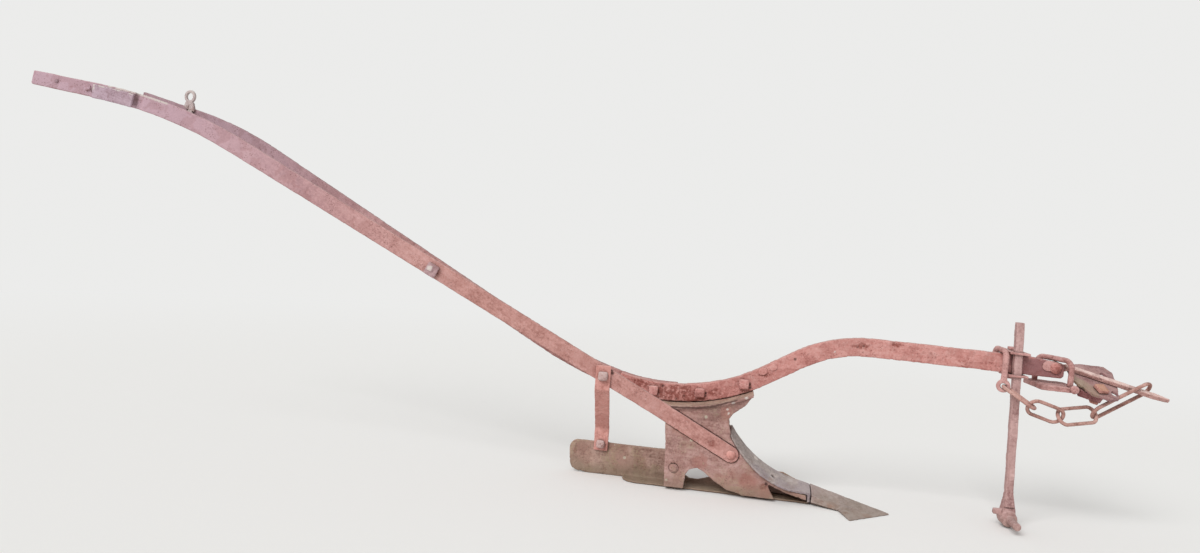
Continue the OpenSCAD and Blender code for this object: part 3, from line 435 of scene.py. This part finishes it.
# Tones from dark to light, the flaked rust and its share, the pale bloom and its share, and the rest
RUSTS = {
    "beam": (("#9e615a", "#c48881", "#d5a49d"), "#7e3e33", 0.05, "#d4bab3", 0.05,
             dict(patchy=0.38, tint="#8a6163")),
    "right_stilt": (("#9c6a62", "#c08e86", "#d2a49e"), "#85493f", 0.03, "#d0b8b3", 0.05,
                    dict(lie=-33, cool="#bfa4b2", patchy=0.4, grime_and_shade=0.25, reach=5)),
    # The far stilt, its splice and its tang rivets wear a darker, browner copy of the stilt's colours:
    # painted shade, as the far stilt lies away from the light
    "left_stilt": (("#855650", "#ab7d78", "#c49892"), "#6b413b", 0.04, "#b9a2a1", 0.04,
                   dict(lie=-33, cool="#a18893", patchy=0.45)),
    # The splice's upper faces are almost fully paled: painted highlight with dust
    "splice": (("#9a7f88", "#baa1ad", "#c9b3be"), "#805756", 0.02, "#d8cfd5", 0.07,
               dict(lie=-17, top_dust_and_light=0.95, patchy=0.35)),
    "stay": (("#a96e64", "#cd938a", "#d9a69d"), "#8d4d42", 0.03, "#d6bab3", 0.05,
             dict(lie=90, patchy=0.4)),
    "cross_stay": (("#7f5e62", "#a88689", "#bd9e9f"), "#75473f", 0.05, "#c6afad", 0.05,
                   dict(lie=20)),
    "eye": (("#8d7878", "#b9a7a5", "#cec1c0"), "#7f4e44", 0.02, "#d8cfce", 0.12, {}),
    "head": (("#95706c", "#bea09b", "#d0bcb8"), "#814e44", 0.06, "#d9cdcb", 0.12,
             dict(edge_light=0.2, grime_and_shade=0.7)),
    "bolt": (("#96605a", "#c38882", "#dba9a2"), "#763b32", 0.08, "#cbaba4", 0.04,
             dict(edge_light=0.15, grime_and_shade=0.3, reach=5)),
    "cast": (("#805c56", "#ad8881", "#c3a29c"), "#7d4c41", 0.05, "#bbad91", 0.08,
             dict(soil=0.5, speck="#c5bca8", drift_size=6.0, blotch="#a57c71", tint="#a06f66",
                  patchy=0.45, grime_and_shade=0.22, reach=5, moss="#a4937a")),
    "slade": (("#795b4f", "#a88a7f", "#bea092"), "#70463b", 0.06, "#bbaa94", 0.08,
              dict(soil=0.6, speck="#bdb4a2", blotch="#9a786c", patchy=0.5, moss="#968a69")),
    "strip": (("#6a5d5b", "#9c8f8a", "#bdb0ad"), "#75564b", 0.05, "#c9bfba", 0.10,
              dict(lie=40, blotch="#908189", tint="#8d695d", reach=6)),
    "share": (("#796861", "#a89692", "#c1b1ac"), "#80594d", 0.05, "#c8bdb6", 0.09,
              dict(lie=18, soil=0.4, blotch="#9d888a", tint="#9e7a6f")),
    "gear": (("#936661", "#c49590", "#d6aaa5"), "#82453e", 0.04, "#d8bcb7", 0.06,
             dict(grime_and_shade=0.7)),
    "post": (("#906b69", "#bd9995", "#cfada9"), "#7a4a43", 0.04, "#d2bfbb", 0.06,
             dict(lie=90, soil=0.3, patchy=0.4)),
    # The rod's upper face is fully paled: painted highlight with dust
    "draught_rod": (("#86625b", "#c0968f", "#e2bcb5"), "#7d493d", 0.04, "#e5cbc3", 0.06,
                    dict(lie=17, top_dust_and_light=1.0)),
    "hake": (("#755255", "#a57e7d", "#b99593"), "#79453e", 0.06, "#bfa49d", 0.05,
             dict(tint="#9c9074", grime_and_shade=0.7)),
    "hake_block": (("#6f3c3c", "#966464", "#b48887"), "#6a2e2a", 0.07, "#be9c9a", 0.04,
                   dict(grime_and_shade=0.7)),
    "hake_bolt": (("#865248", "#b98478", "#d3a298"), "#8f4d31", 0.06, "#c6a47d", 0.07,
                  dict(grime_and_shade=0.7)),
    "chain": (("#7c5349", "#b3877d", "#d0a99f"), "#794234", 0.05, "#ceb4ab", 0.06, {}),
}
FINISH = {name: old_iron(name + "_rust", *rust, **rest) for name, (*rust, rest) in RUSTS.items()}
# A node wears the finish of its own name, or else one named here for it, or else that of its slot
NODE_FINISH = {
    "left_splice": "left_stilt", "right_splice": "splice", "upright_stay": "stay", "stay_bolts": "head",
    "stilt_bolt": "stay", "beam_bolts": "bolt", "breast_strip": "strip", "wheel_post": "post",
    "hake_lower": "hake_block",
}
SLOTS = {s["node"]: s["material_slot"] for s in frame["record"]["subparts"]}
SLOT_FINISH = {"stilt": "right_stilt", "casting": "cast", "share_iron": "share"}


def finish_of(node):
    slot = SLOTS[node]
    of_slot = SLOT_FINISH.get(slot, slot)
    return FINISH[node if node in FINISH else NODE_FINISH.get(node, of_slot)]


def paint_nodes():
    """Every CAD node gets its finish, also those that stay in sight."""
    for name, thing in frame["nodes"].items():
        thing.data.materials.clear()
        thing.data.materials.append(finish_of(name))


def add_floor():
    """A wide pale floor that keeps the shadows near the plough and fades to the sky's colour far out."""
    mesh = bpy.data.meshes.new("floor")
    bm = bmesh.new()
    bmesh.ops.create_grid(bm, x_segments=2, y_segments=2, size=FLOOR_HALF)
    bm.to_mesh(mesh)
    bm.free()
    floor = bpy.data.objects.new("floor", mesh)
    scene.collection.objects.link(floor)
    n = Nodes("floor")
    n.shader.inputs["Base Color"].default_value = FLOOR_COLOUR
    n.shader.inputs["Roughness"].default_value = FLOOR_ROUGHNESS
    n.shader.inputs["Specular IOR Level"].default_value = FLOOR_SPECULAR
    away = n.add("ShaderNodeVectorMath", operation="LENGTH")
    n.link(n.add("ShaderNodeTexCoord").outputs["Object"], away.inputs[0])
    fade = n.times(n.spread(away.outputs["Value"], *FLOOR_FADE), sees_background(n.tree))
    sky = n.add("ShaderNodeEmission")
    sky.inputs["Color"].default_value = SKY
    sky.inputs["Strength"].default_value = SKY_SEEN
    both = n.add("ShaderNodeMixShader")
    n.link(fade, both.inputs["Fac"])
    n.link(n.shader.outputs[0], both.inputs[1])
    n.link(sky.outputs[0], both.inputs[2])
    out = [node for node in n.tree.nodes if node.type == "OUTPUT_MATERIAL"][0]
    n.link(both.outputs[0], out.inputs["Surface"])
    mesh.materials.append(n.material)


# Smooth noise worked out at a mesh's points, the same on each run
HASH_X, HASH_Y, HASH_Z, HASH_SEED, HASH_TWIST = 374761393, 668265263, 2147483647, 974634777, 1274126177
HASH_MOST = 0xFFFFFF
OCTAVE_SCALE, OCTAVE_SIZE, OCTAVE_SEED = 2.03, 0.55, 17


def lattice(cells, seed):
    """A steady value from 0 to 1 for each whole-numbered cell."""
    x, y, z = (cells[:, k].astype(np.int64) for k in range(3))
    h = x * HASH_X + y * HASH_Y + z * HASH_Z + seed * HASH_SEED
    h = (h ^ (h >> 13)) * HASH_TWIST
    h = h ^ (h >> 16)
    return (h & HASH_MOST).astype(float) / HASH_MOST


def noise_at(points, scale, seed):
    p = points * scale
    base = np.floor(p)
    f = p - base
    f = f * f * (3 - 2 * f)
    total = np.zeros(len(p))
    for dx in (0, 1):
        for dy in (0, 1):
            for dz in (0, 1):
                weight = np.ones(len(p))
                for k, d in enumerate((dx, dy, dz)):
                    weight = weight * (f[:, k] if d else 1 - f[:, k])
                total += weight * lattice(base + np.array([dx, dy, dz]), seed)
    return total


def layered(points, scale, octaves, seed):
    total, share, size = np.zeros(len(points)), 0.0, 1.0
    for k in range(octaves):
        total += size * noise_at(points, scale * OCTAVE_SCALE ** k, seed + OCTAVE_SEED * k)
        share += size
        size *= OCTAVE_SIZE
    return total / share


def ease(value, low, high):
    t = np.clip((value - low) / (high - low), 0, 1)
    return t * t * (3 - 2 * t)


def places(points, kind, seed):
    """Where a kind of wear lies: noise scale and octaves, what the seed adds, and the levels it sets in."""
    scale, octaves, more, low, high = kind
    return ease(layered(points, scale, octaves, seed + more), low, high)


def points_of(mesh):
    co = np.empty(len(mesh.vertices) * 3)
    mesh.vertices.foreach_get("co", co)
    return co.reshape(-1, 3)


def pressed(mesh, depth):
    """Moves a mesh's points inwards, each by its depth in millimetres, and keeps them in the CAD's box."""
    nv = np.empty(len(mesh.vertices) * 3)
    mesh.vertex_normals.foreach_get("vector", nv)
    co = points_of(mesh) - nv.reshape(-1, 3) * (depth * MM)[:, None]
    mesh.vertices.foreach_set("co", np.clip(co, *cad_box).ravel())
    mesh.update()


def mesh_from(bm, name):
    bmesh.ops.recalc_face_normals(bm, faces=bm.faces)
    mesh = bpy.data.meshes.new(name)
    bm.to_mesh(mesh)
    bm.free()
    return mesh


def add_object(name, mesh, finish, body="plough"):
    mesh.name = name
    thing = bpy.data.objects.new(name, mesh)
    scene.collection.objects.link(thing)
    mesh.materials.clear()
    mesh.materials.append(finish)
    for polygon in mesh.polygons:
        polygon.use_smooth = True
    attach(thing, body)
    return thing


def softened(mesh, voxel, rounds):
    """An even, dense mesh of the same shape, its edges eased by rounds of smoothing."""
    rough = bpy.data.objects.new("rough", mesh)
    scene.collection.objects.link(rough)
    remesh = rough.modifiers.new("remesh", "REMESH")
    remesh.mode = "VOXEL"
    remesh.voxel_size = voxel * MM
    smooth = rough.modifiers.new("smooth", "SMOOTH")
    smooth.factor = 0.5
    smooth.iterations = rounds
    graph = bpy.context.evaluated_depsgraph_get()
    graph.update()
    even = bpy.data.meshes.new_from_object(rough.evaluated_get(graph))
    bpy.data.objects.remove(rough)
    return even


MARK_KINDS = ("raw", "pale", "dark", "tint")
# Marks seen in the photograph: kind, picture point, radius in millimetres, strength where it isn't 1
# Most dark marks are painted shadows: beside the beam's bolt heads and scabs, in the recess past the right
# splice, beside the tang bolt and the stay's top bolt, and on the bow plate's rear part; the two broad faint
# ones darken the frame's neck
MARKS = {
    "beam": [
        ("raw", 641, 382, 13), ("raw", 655, 388, 16), ("raw", 668, 393, 20), ("raw", 682, 394, 22),
        ("raw", 695, 397, 12), ("raw", 715, 393, 9), ("raw", 861, 346, 9), ("raw", 898, 345, 6),
        ("raw", 764, 374, 8), ("dark", 795.2, 359.3, 3.0), ("dark", 705.6, 393, 2.6),
        ("dark", 705.8, 396, 2.6), ("dark", 749.8, 384.5, 3.2), ("dark", 750.2, 388, 3.2),
        ("dark", 657, 394, 3), ("dark", 663, 386, 2.6), ("pale", 835, 352, 2.4),
        ("pale", 768, 357.5, 1.8), ("dark", 676, 399, 3), ("dark", 684, 396, 2.6),
        ("dark", 858, 347.4, 2.2), ("dark", 864, 346.2, 2.2), ("tint", 1023, 367, 40, 1.2),
        ("tint", 1040, 370, 40, 1.2), ("tint", 1060, 374, 30),
    ],
    "right_stilt": [
        ("dark", 136.8, 96, 8, 0.5), ("dark", 136, 99.5, 8, 0.55), ("dark", 135.2, 103, 8, 0.5),
        ("dark", 92.6, 88.5, 3.4), ("dark", 92.2, 91, 3.0), ("dark", 611.5, 370, 5),
        ("raw", 436, 272, 7), ("raw", 712, 444, 9), ("dark", 612, 373, 4),
    ],
    "frame": [
        ("pale", 733.5, 404, 4.6), ("pale", 746.5, 398, 4.2), ("pale", 727.5, 409.5, 2.6),
        ("pale", 728.5, 413.5, 2.6), ("tint", 700, 462, 18), ("tint", 748, 482, 20),
        ("tint", 765, 492, 18), ("tint", 725, 412, 14), ("raw", 764, 487, 9), ("dark", 766, 484, 4),
        ("dark", 712, 413, 26, 0.28), ("dark", 738, 404, 20, 0.28),
    ],
    "breast_strip": [("tint", 768, 483, 8), ("pale", 741, 436, 7), ("pale", 756, 458, 7)],
    "share": [("tint", 832, 504, 14), ("raw", 846, 512, 8), ("pale", 842, 495, 6), ("tint", 868, 516, 12)],
    "rein_eye": [("pale", 189.3, 87.5, 22, 0.35), ("dark", 186.6, 108.6, 4.5), ("raw", 181, 107, 8)],
    "hake": [
        ("tint", 1078, 382, 20), ("tint", 1086, 386, 20), ("tint", 1094, 391, 16), ("dark", 1076, 396, 7),
    ],
    "cross_stay": [("pale", 429.5, 268, 7)],
    "bow_plate": [("dark", 1034, 383, 16, 0.4), ("dark", 1044, 386, 14, 0.3)],
}
# Painted lines of shade and highlight are rows of marks: node, kind, radius in millimetres, picture points
# that they run through. The dark ones are painted shadow under the frame's rim and between beam and rim, and
# a dark line on the wheel post; the pale ones are painted highlights on the right splice's lit end and along
# the top edges of splice and stilt.
SHADE_AND_HIGHLIGHT_LINES = [
    ("frame", "dark", 3.2, [(672, 407.4), (700, 408.2), (715, 406.3), (738, 399.5)]),
    ("wheel_post", "dark", 1.8, [(1003.5, 507), (1010, 508.6), (1017, 508.4)]),
    ("beam", "dark", 2.2, [(650, 398), (672, 401.5), (700, 402.5)]),
    ("right_splice", "pale", 4.5, [(93.6, 84.5), (92.6, 92.0)]),
    ("right_splice", "pale", 4.0, [(96, 83.4), (133, 93.2)]),
    ("right_stilt", "pale", 4.0, [(100, 83.0), (136, 92.5), (168, 103.5)]),
]
LINE_STEP_PX = 1.2
# How far raw patches stretch along a node, and how ragged the rims of all marks are
RAW_STRETCH = {"beam": 2.2, "breast_strip": 1.6}
RAGGED_NOISE, RAGGED_BY, MARK_RIM = (160, 3, 77), 1.1, (0.65, 1.15)


def shade_and_highlight_line_marks(node):
    """The marks along a node's painted lines of shade and highlight."""
    marks = []
    for line_node, kind, radius, way in SHADE_AND_HIGHLIGHT_LINES:
        if line_node != node:
            continue
        for (ax, ay), (bx, by) in zip(way[:-1], way[1:]):
            steps = max(2, int(abs(bx - ax) / LINE_STEP_PX))
            for k in range(steps):
                share = k / steps
                marks.append((kind, ax + (bx - ax) * share, ay + (by - ay) * share, radius))
    return marks


def marks_on(node, co):
    """How strongly each kind of mark lies on each point, with ragged rims."""
    found = {kind: np.zeros(len(co)) for kind in MARK_KINDS}
    ragged = layered(co, *RAGGED_NOISE) - 0.5
    for kind, px, py, radius, *strength in MARKS.get(node, []) + shade_and_highlight_line_marks(node):
        at, _ = seat(node, *sight(px, py))
        away = co - np.array(at)
        if kind == "raw":
            away[:, 0] /= RAW_STRETCH.get(node, 1.0)
        far = np.linalg.norm(away, axis=1) / (radius * MM)
        level = strength[0] if strength else 1.0
        found[kind] = np.maximum(found[kind], level * (1 - ease(far + ragged * RAGGED_BY, *MARK_RIM)))
    return found


def keep_marks(mesh, marks):
    for kind, values in marks.items():
        layer = mesh.attributes.new(kind, "FLOAT", "POINT")
        layer.data.foreach_set("value", values)


# Wear of a node, for places(): scabs, pits and where they lie, flakes, and torn raw patches
SCABS = (90, 3, 5, 0.52, 0.70)
PITS = (190, 2, 9, 0.60, 0.74)
PITTED = (14, 2, 3, 0.40, 0.60)
FLAKES = (34, 3, 21, 0.545, 0.565)
TORN = (110, 3, 31, 0.47, 0.53)
LEAST_WEAR = 0.12
DISHED_NOISE = (22, 4)
SCAB_SHARE = 0.6
# Depths in millimetres under the marks: raw at least, dark and pale
RAW_DEPTH, DARK_DEPTH, PALE_DEPTH = 0.4, 0.6, -0.3
# Node, voxel, dishing and pits in millimetres, seed, smoothing rounds, flake depth, swelling by rust, body
WORN = [
    ("beam", 2.1, 1.1, 1.3, 11, 3, 0.8, 0.0),
    ("left_stilt", 2.6, 0.7, 0.6, 12, 3, 0.3, 0.0),
    ("right_stilt", 2.2, 0.7, 0.8, 13, 3, 0.3, 0.55),
    ("left_splice", 2.0, 0.6, 0.4, 14, 2, 0.2, 0.0),
    ("right_splice", 1.7, 0.6, 0.5, 15, 2, 0.2, 0.0),
    ("rein_eye", 1.3, 0.3, 0.3, 16, 2, 0.0, 0.2),
    ("cross_stay", 1.9, 0.5, 0.5, 17, 3, 0.2, 0.0),
    ("upright_stay", 1.8, 0.8, 0.8, 18, 3, 0.4, 0.0),
    ("stay_bolts", 1.3, 0.7, 0.5, 19, 60, 0.0, 2.0),
    ("frame", 2.2, 0.8, 1.1, 20, 3, 0.35, 0.45),
    ("beam_bolts", 1.5, 1.6, 0.8, 21, 90, 0.0, 2.2),
    ("stilt_bolt", 1.4, 0.6, 0.5, 22, 2, 0.0, 0.2),
    ("breast_strip", 1.7, 0.6, 0.7, 23, 2, 0.35, 0.0),
    ("share", 1.8, 0.7, 0.8, 24, 2, 0.4, 0.0),
    ("slade", 2.4, 1.0, 1.0, 25, 2, 0.5, 0.0),
    ("slade_bolts", 1.6, 0.4, 0.4, 26, 3, 0.0, 0.0),
    ("beam_shackle", 1.3, 0.5, 0.5, 27, 2, 0.2, 1.0),
    ("clamp_top", 1.5, 0.5, 0.5, 28, 2, 0.2, 0.2),
    ("clamp_bottom", 1.5, 0.5, 0.5, 29, 2, 0.2, 0.2),
    ("clamp_bolt", 1.4, 0.4, 0.4, 30, 3, 0.0, 0.0),
    ("end_bow", 1.4, 0.5, 0.5, 32, 2, 0.2, 1.2),
    ("bow_plate", 1.7, 0.8, 0.7, 33, 3, 0.3, 0.3),
    ("beam_pin", 1.3, 0.4, 0.4, 34, 2, 0.2, 0.3),
    ("hake", 1.6, 0.7, 0.7, 35, 2, 0.4, 0.0),
    ("hake_lower", 1.7, 0.9, 0.7, 36, 4, 0.4, 0.3),
    ("hake_bolt", 1.2, 0.5, 0.5, 37, 4, 0.0, 0.4),
    ("draught_rod", 1.5, 0.5, 0.5, 38, 2, 0.2, 0.3),
    ("chain_link_1", 1.0, 0.35, 0.35, 39, 1, 0.0, 0.85),
    ("chain_link_2", 1.0, 0.35, 0.35, 40, 1, 0.0, 0.85),
    ("chain_link_3", 1.0, 0.35, 0.35, 41, 1, 0.0, 0.85),
    ("chain_link_4", 1.0, 0.35, 0.35, 42, 1, 0.0, 1.0),
    ("wheel_post", 1.8, 0.7, 0.6, 31, 2, 0.35, 0.0, "post"),
]


def worn(node, voxel, wear, pit, seed, rounds, flakes, swell, body="plough"):
    """Stands for a CAD node: its edges rounded by wear, its faces dished, pitted and flaked inwards."""
    mesh = softened(frame["nodes"][node].data.copy(), voxel, rounds)
    co = points_of(mesh)
    marks = marks_on(node, co)
    depth = LEAST_WEAR + wear * layered(co, *DISHED_NOISE, seed)
    depth += wear * SCAB_SHARE * places(co, SCABS, seed)
    depth += pit * places(co, PITS, seed) * places(co, PITTED, seed)
    scaled = places(co, FLAKES, seed) if flakes else np.zeros(len(co))
    depth += (flakes * scaled + marks["raw"] * (RAW_DEPTH + places(co, TORN, seed))
              + DARK_DEPTH * marks["dark"] + PALE_DEPTH * marks["pale"])
    pressed(mesh, depth - swell)
    keep_marks(mesh, {**marks, "scaled": scaled})
    thing = add_object("worn_" + node, mesh, finish_of(node), body)
    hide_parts(node)


# Small worn fasteners are turned domes: steps round the axis and up the dome, depth of the foot
TURN_STEPS, DOME_STEPS, FOOT_DEPTH = 36, 7, -2.0
DENTED_NOISE, DENTED_FROM = (170, 3), 0.35
DENTS = (60, 2, 4, 0.5, 0.7)


def dome(radius, height, rim=1.0):
    """A turned piece about +Z in millimetres: a foot under the surface, a short rim, then a low dome."""
    profile = [(0, FOOT_DEPTH), (radius, FOOT_DEPTH), (radius, 0.4 * rim), (radius * 0.97, rim)]
    for k in range(1, DOME_STEPS):
        angle = math.pi / 2 * k / DOME_STEPS
        profile.append((radius * 0.95 * math.cos(angle), rim + (height - rim) * math.sin(angle)))
    bm = bmesh.new()
    rings = []
    for ring_radius, level in profile + [(0, height)]:
        angles = [2 * math.pi * k / TURN_STEPS for k in range(TURN_STEPS if ring_radius else 1)]
        across = ring_radius * MM
        rings.append([bm.verts.new((across * math.cos(a), across * math.sin(a), level * MM)) for a in angles])
    for low, high in zip(rings[:-1], rings[1:]):
        for k in range(TURN_STEPS):
            after = (k + 1) % TURN_STEPS
            corners = [low[k % len(low)], low[after % len(low)], high[after % len(high)], high[k % len(high)]]
            bm.faces.new(list(dict.fromkeys(corners)))
    return mesh_from(bm, "turned")


def fix_on(name, mesh, node, ray, finish, seed, stretch=1.0, turn=0.0, wear=0.5, marks=None):
    """Sets a small piece on a node's face where a line meets it, looking out of the face."""
    at, normal = seat(node, *ray)
    aim = normal.to_track_quat("Z", "Y").to_matrix().to_4x4()
    spin = Matrix.Rotation(math.radians(turn), 4, "Z")
    mesh.transform(Matrix.Translation(at) @ aim @ spin @ Matrix.Diagonal((stretch, 1, 1, 1)))
    mesh.update()
    co = points_of(mesh)
    dented = layered(co, *DENTED_NOISE, seed) - DENTED_FROM
    pressed(mesh, wear * dented + wear * places(co, DENTS, seed))
    found = {kind: np.zeros(len(co)) for kind in (*MARK_KINDS, "scaled")}
    for kind, value in (marks or {}).items():
        found[kind][:] = value
    keep_marks(mesh, found)
    add_object(name, mesh, FINISH[finish])


# Scabs on the beam: picture point, radius and height in millimetres
BEAM_SCABS = [(762.9, 371.7, 8.5, 2.0), (773.2, 367.4, 8.0, 1.8)]
# Rivet and bolt on the far tang: place along the plough, radius and height in millimetres
FAR_TANG = [(-1640, 5, 2.6), (-1560, 8.5, 5.5)]
# Lines from the far side start this many metres out, and are tried at these heights in millimetres
FAR_SIDE = 1
TRIED_HEIGHTS = range(700, 910, 2)


def from_far_side(node, x):
    """A line from the far side through the middle of a bar at a place along the plough."""
    way = Vector((0, -1, 0))
    heights = [h * MM for h in TRIED_HEIGHTS]
    hits = [h for h in heights if faces_of(node).ray_cast(Vector((x * MM, FAR_SIDE, h)), way)[0]]
    return Vector((x * MM, FAR_SIDE, sum(hits) / len(hits))), way


def add_fasteners():
    """Small worn fasteners, each set where the picture shows it."""
    fix_on("pin_pad", dome(12, 3.0, 2.2), "beam", sight(1048.8, 366.0), "gear", 61,
           stretch=1.15, turn=10, wear=0.7)
    fix_on("tang_rivet_near", dome(5, 2.6), "right_stilt", sight(56.5, 81), "right_stilt", 62,
           wear=0.8, marks={"dark": 0.45})
    fix_on("tang_bolt_near", dome(8.5, 5.5, 3.5), "right_stilt", sight(87.4, 87.2), "right_stilt", 63,
           stretch=1.15, wear=1.0, marks={"raw": 0.35})
    fix_on("slade_bolt_cap", dome(9.5, 3.4, 1.6), "slade_bolts", sight(673, 467.5), "cast", 64, wear=0.7)
    fix_on("bow_plate_lug", dome(9.5, 7.0, 3.0), "bow_plate", sight(1074.5, 390.0), "gear", 60,
           wear=1.0, marks={"raw": 0.2})
    fix_on("eye_foot_rivet", dome(5, 3.0), "rein_eye", sight(181.5, 104.5), "eye", 65, wear=0.7)
    for k, (px, py, radius, high) in enumerate(BEAM_SCABS):
        fix_on("beam_scab_%d" % k, dome(radius, high, 0.6), "beam", sight(px, py), "beam", 66 + k,
               stretch=1.3, turn=25, wear=0.7)
    for k, (x, radius, high) in enumerate(FAR_TANG):
        fix_on("tang_rivet_far_%d" % k, dome(radius, high, high * 0.6), "left_stilt",
               from_far_side("left_stilt", x), "left_stilt", 71 + k,
               stretch=1.15, wear=0.9, marks={"raw": 0.3})


# The rein eye's foot in millimetres: outline from the eye's middle and over the ground, half its thickness,
# the notch broken out of it, its wear, and the height under which it is raw
FOOT_OUTLINE = [(-18, 851), (17, 839), (15, 852), (11, 866), (-11, 869), (-15, 858)]
FOOT_HALF = 4.6
NOTCH_X, NOTCH_Z, NOTCH_RADIUS, NOTCH_DEPTH = 2, 852, 6, 2.2
NOTCH_RIM = (0.5, 1.1)
FOOT_NOISE, FOOT_WEAR = (120, 3, 81), 0.5
FOOT_RAW_TOP, FOOT_RAW_FADE = 862, 12
FOOT_RAW, FOOT_DARK = 0.6, 0.6


def add_eye_foot():
    """The flare at the foot of the rein eye's shank, where it meets the stilt."""
    low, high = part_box("rein_eye")
    mid_x, mid_y = (low[0] + high[0]) / 2, (low[1] + high[1]) / 2
    bm = bmesh.new()
    near, far = (
        [bm.verts.new((mid_x + x * MM, mid_y + side * FOOT_HALF * MM, z * MM)) for x, z in FOOT_OUTLINE]
        for side in (-1, 1)
    )
    bm.faces.new(near)
    bm.faces.new(list(reversed(far)))
    for k in range(len(FOOT_OUTLINE)):
        after = (k + 1) % len(FOOT_OUTLINE)
        bm.faces.new((near[after], near[k], far[k], far[after]))
    mesh = softened(mesh_from(bm, "eye_foot"), 1.2, 4)
    co = points_of(mesh)
    from_notch = np.linalg.norm(co[:, [0, 2]] - np.array([mid_x + NOTCH_X * MM, NOTCH_Z * MM]), axis=1)
    notch = 1 - ease(from_notch / (NOTCH_RADIUS * MM), *NOTCH_RIM)
    pressed(mesh, FOOT_WEAR * layered(co, *FOOT_NOISE) + NOTCH_DEPTH * notch)
    raw = ease(FOOT_RAW_TOP * MM - co[:, 2], 0.0, FOOT_RAW_FADE * MM) * FOOT_RAW
    blank = {kind: np.zeros(len(co)) for kind in ("pale", "tint", "scaled")}
    keep_marks(mesh, {**blank, "dark": FOOT_DARK * notch, "raw": raw})
    add_object("eye_foot", mesh, FINISH["eye"])


scene.view_settings.view_transform = "Standard"
add_camera()
add_light()
add_floor()
paint_nodes()
for worn_node, *worn_values in WORN:
    worn(worn_node, *worn_values)
add_fasteners()
add_eye_foot()
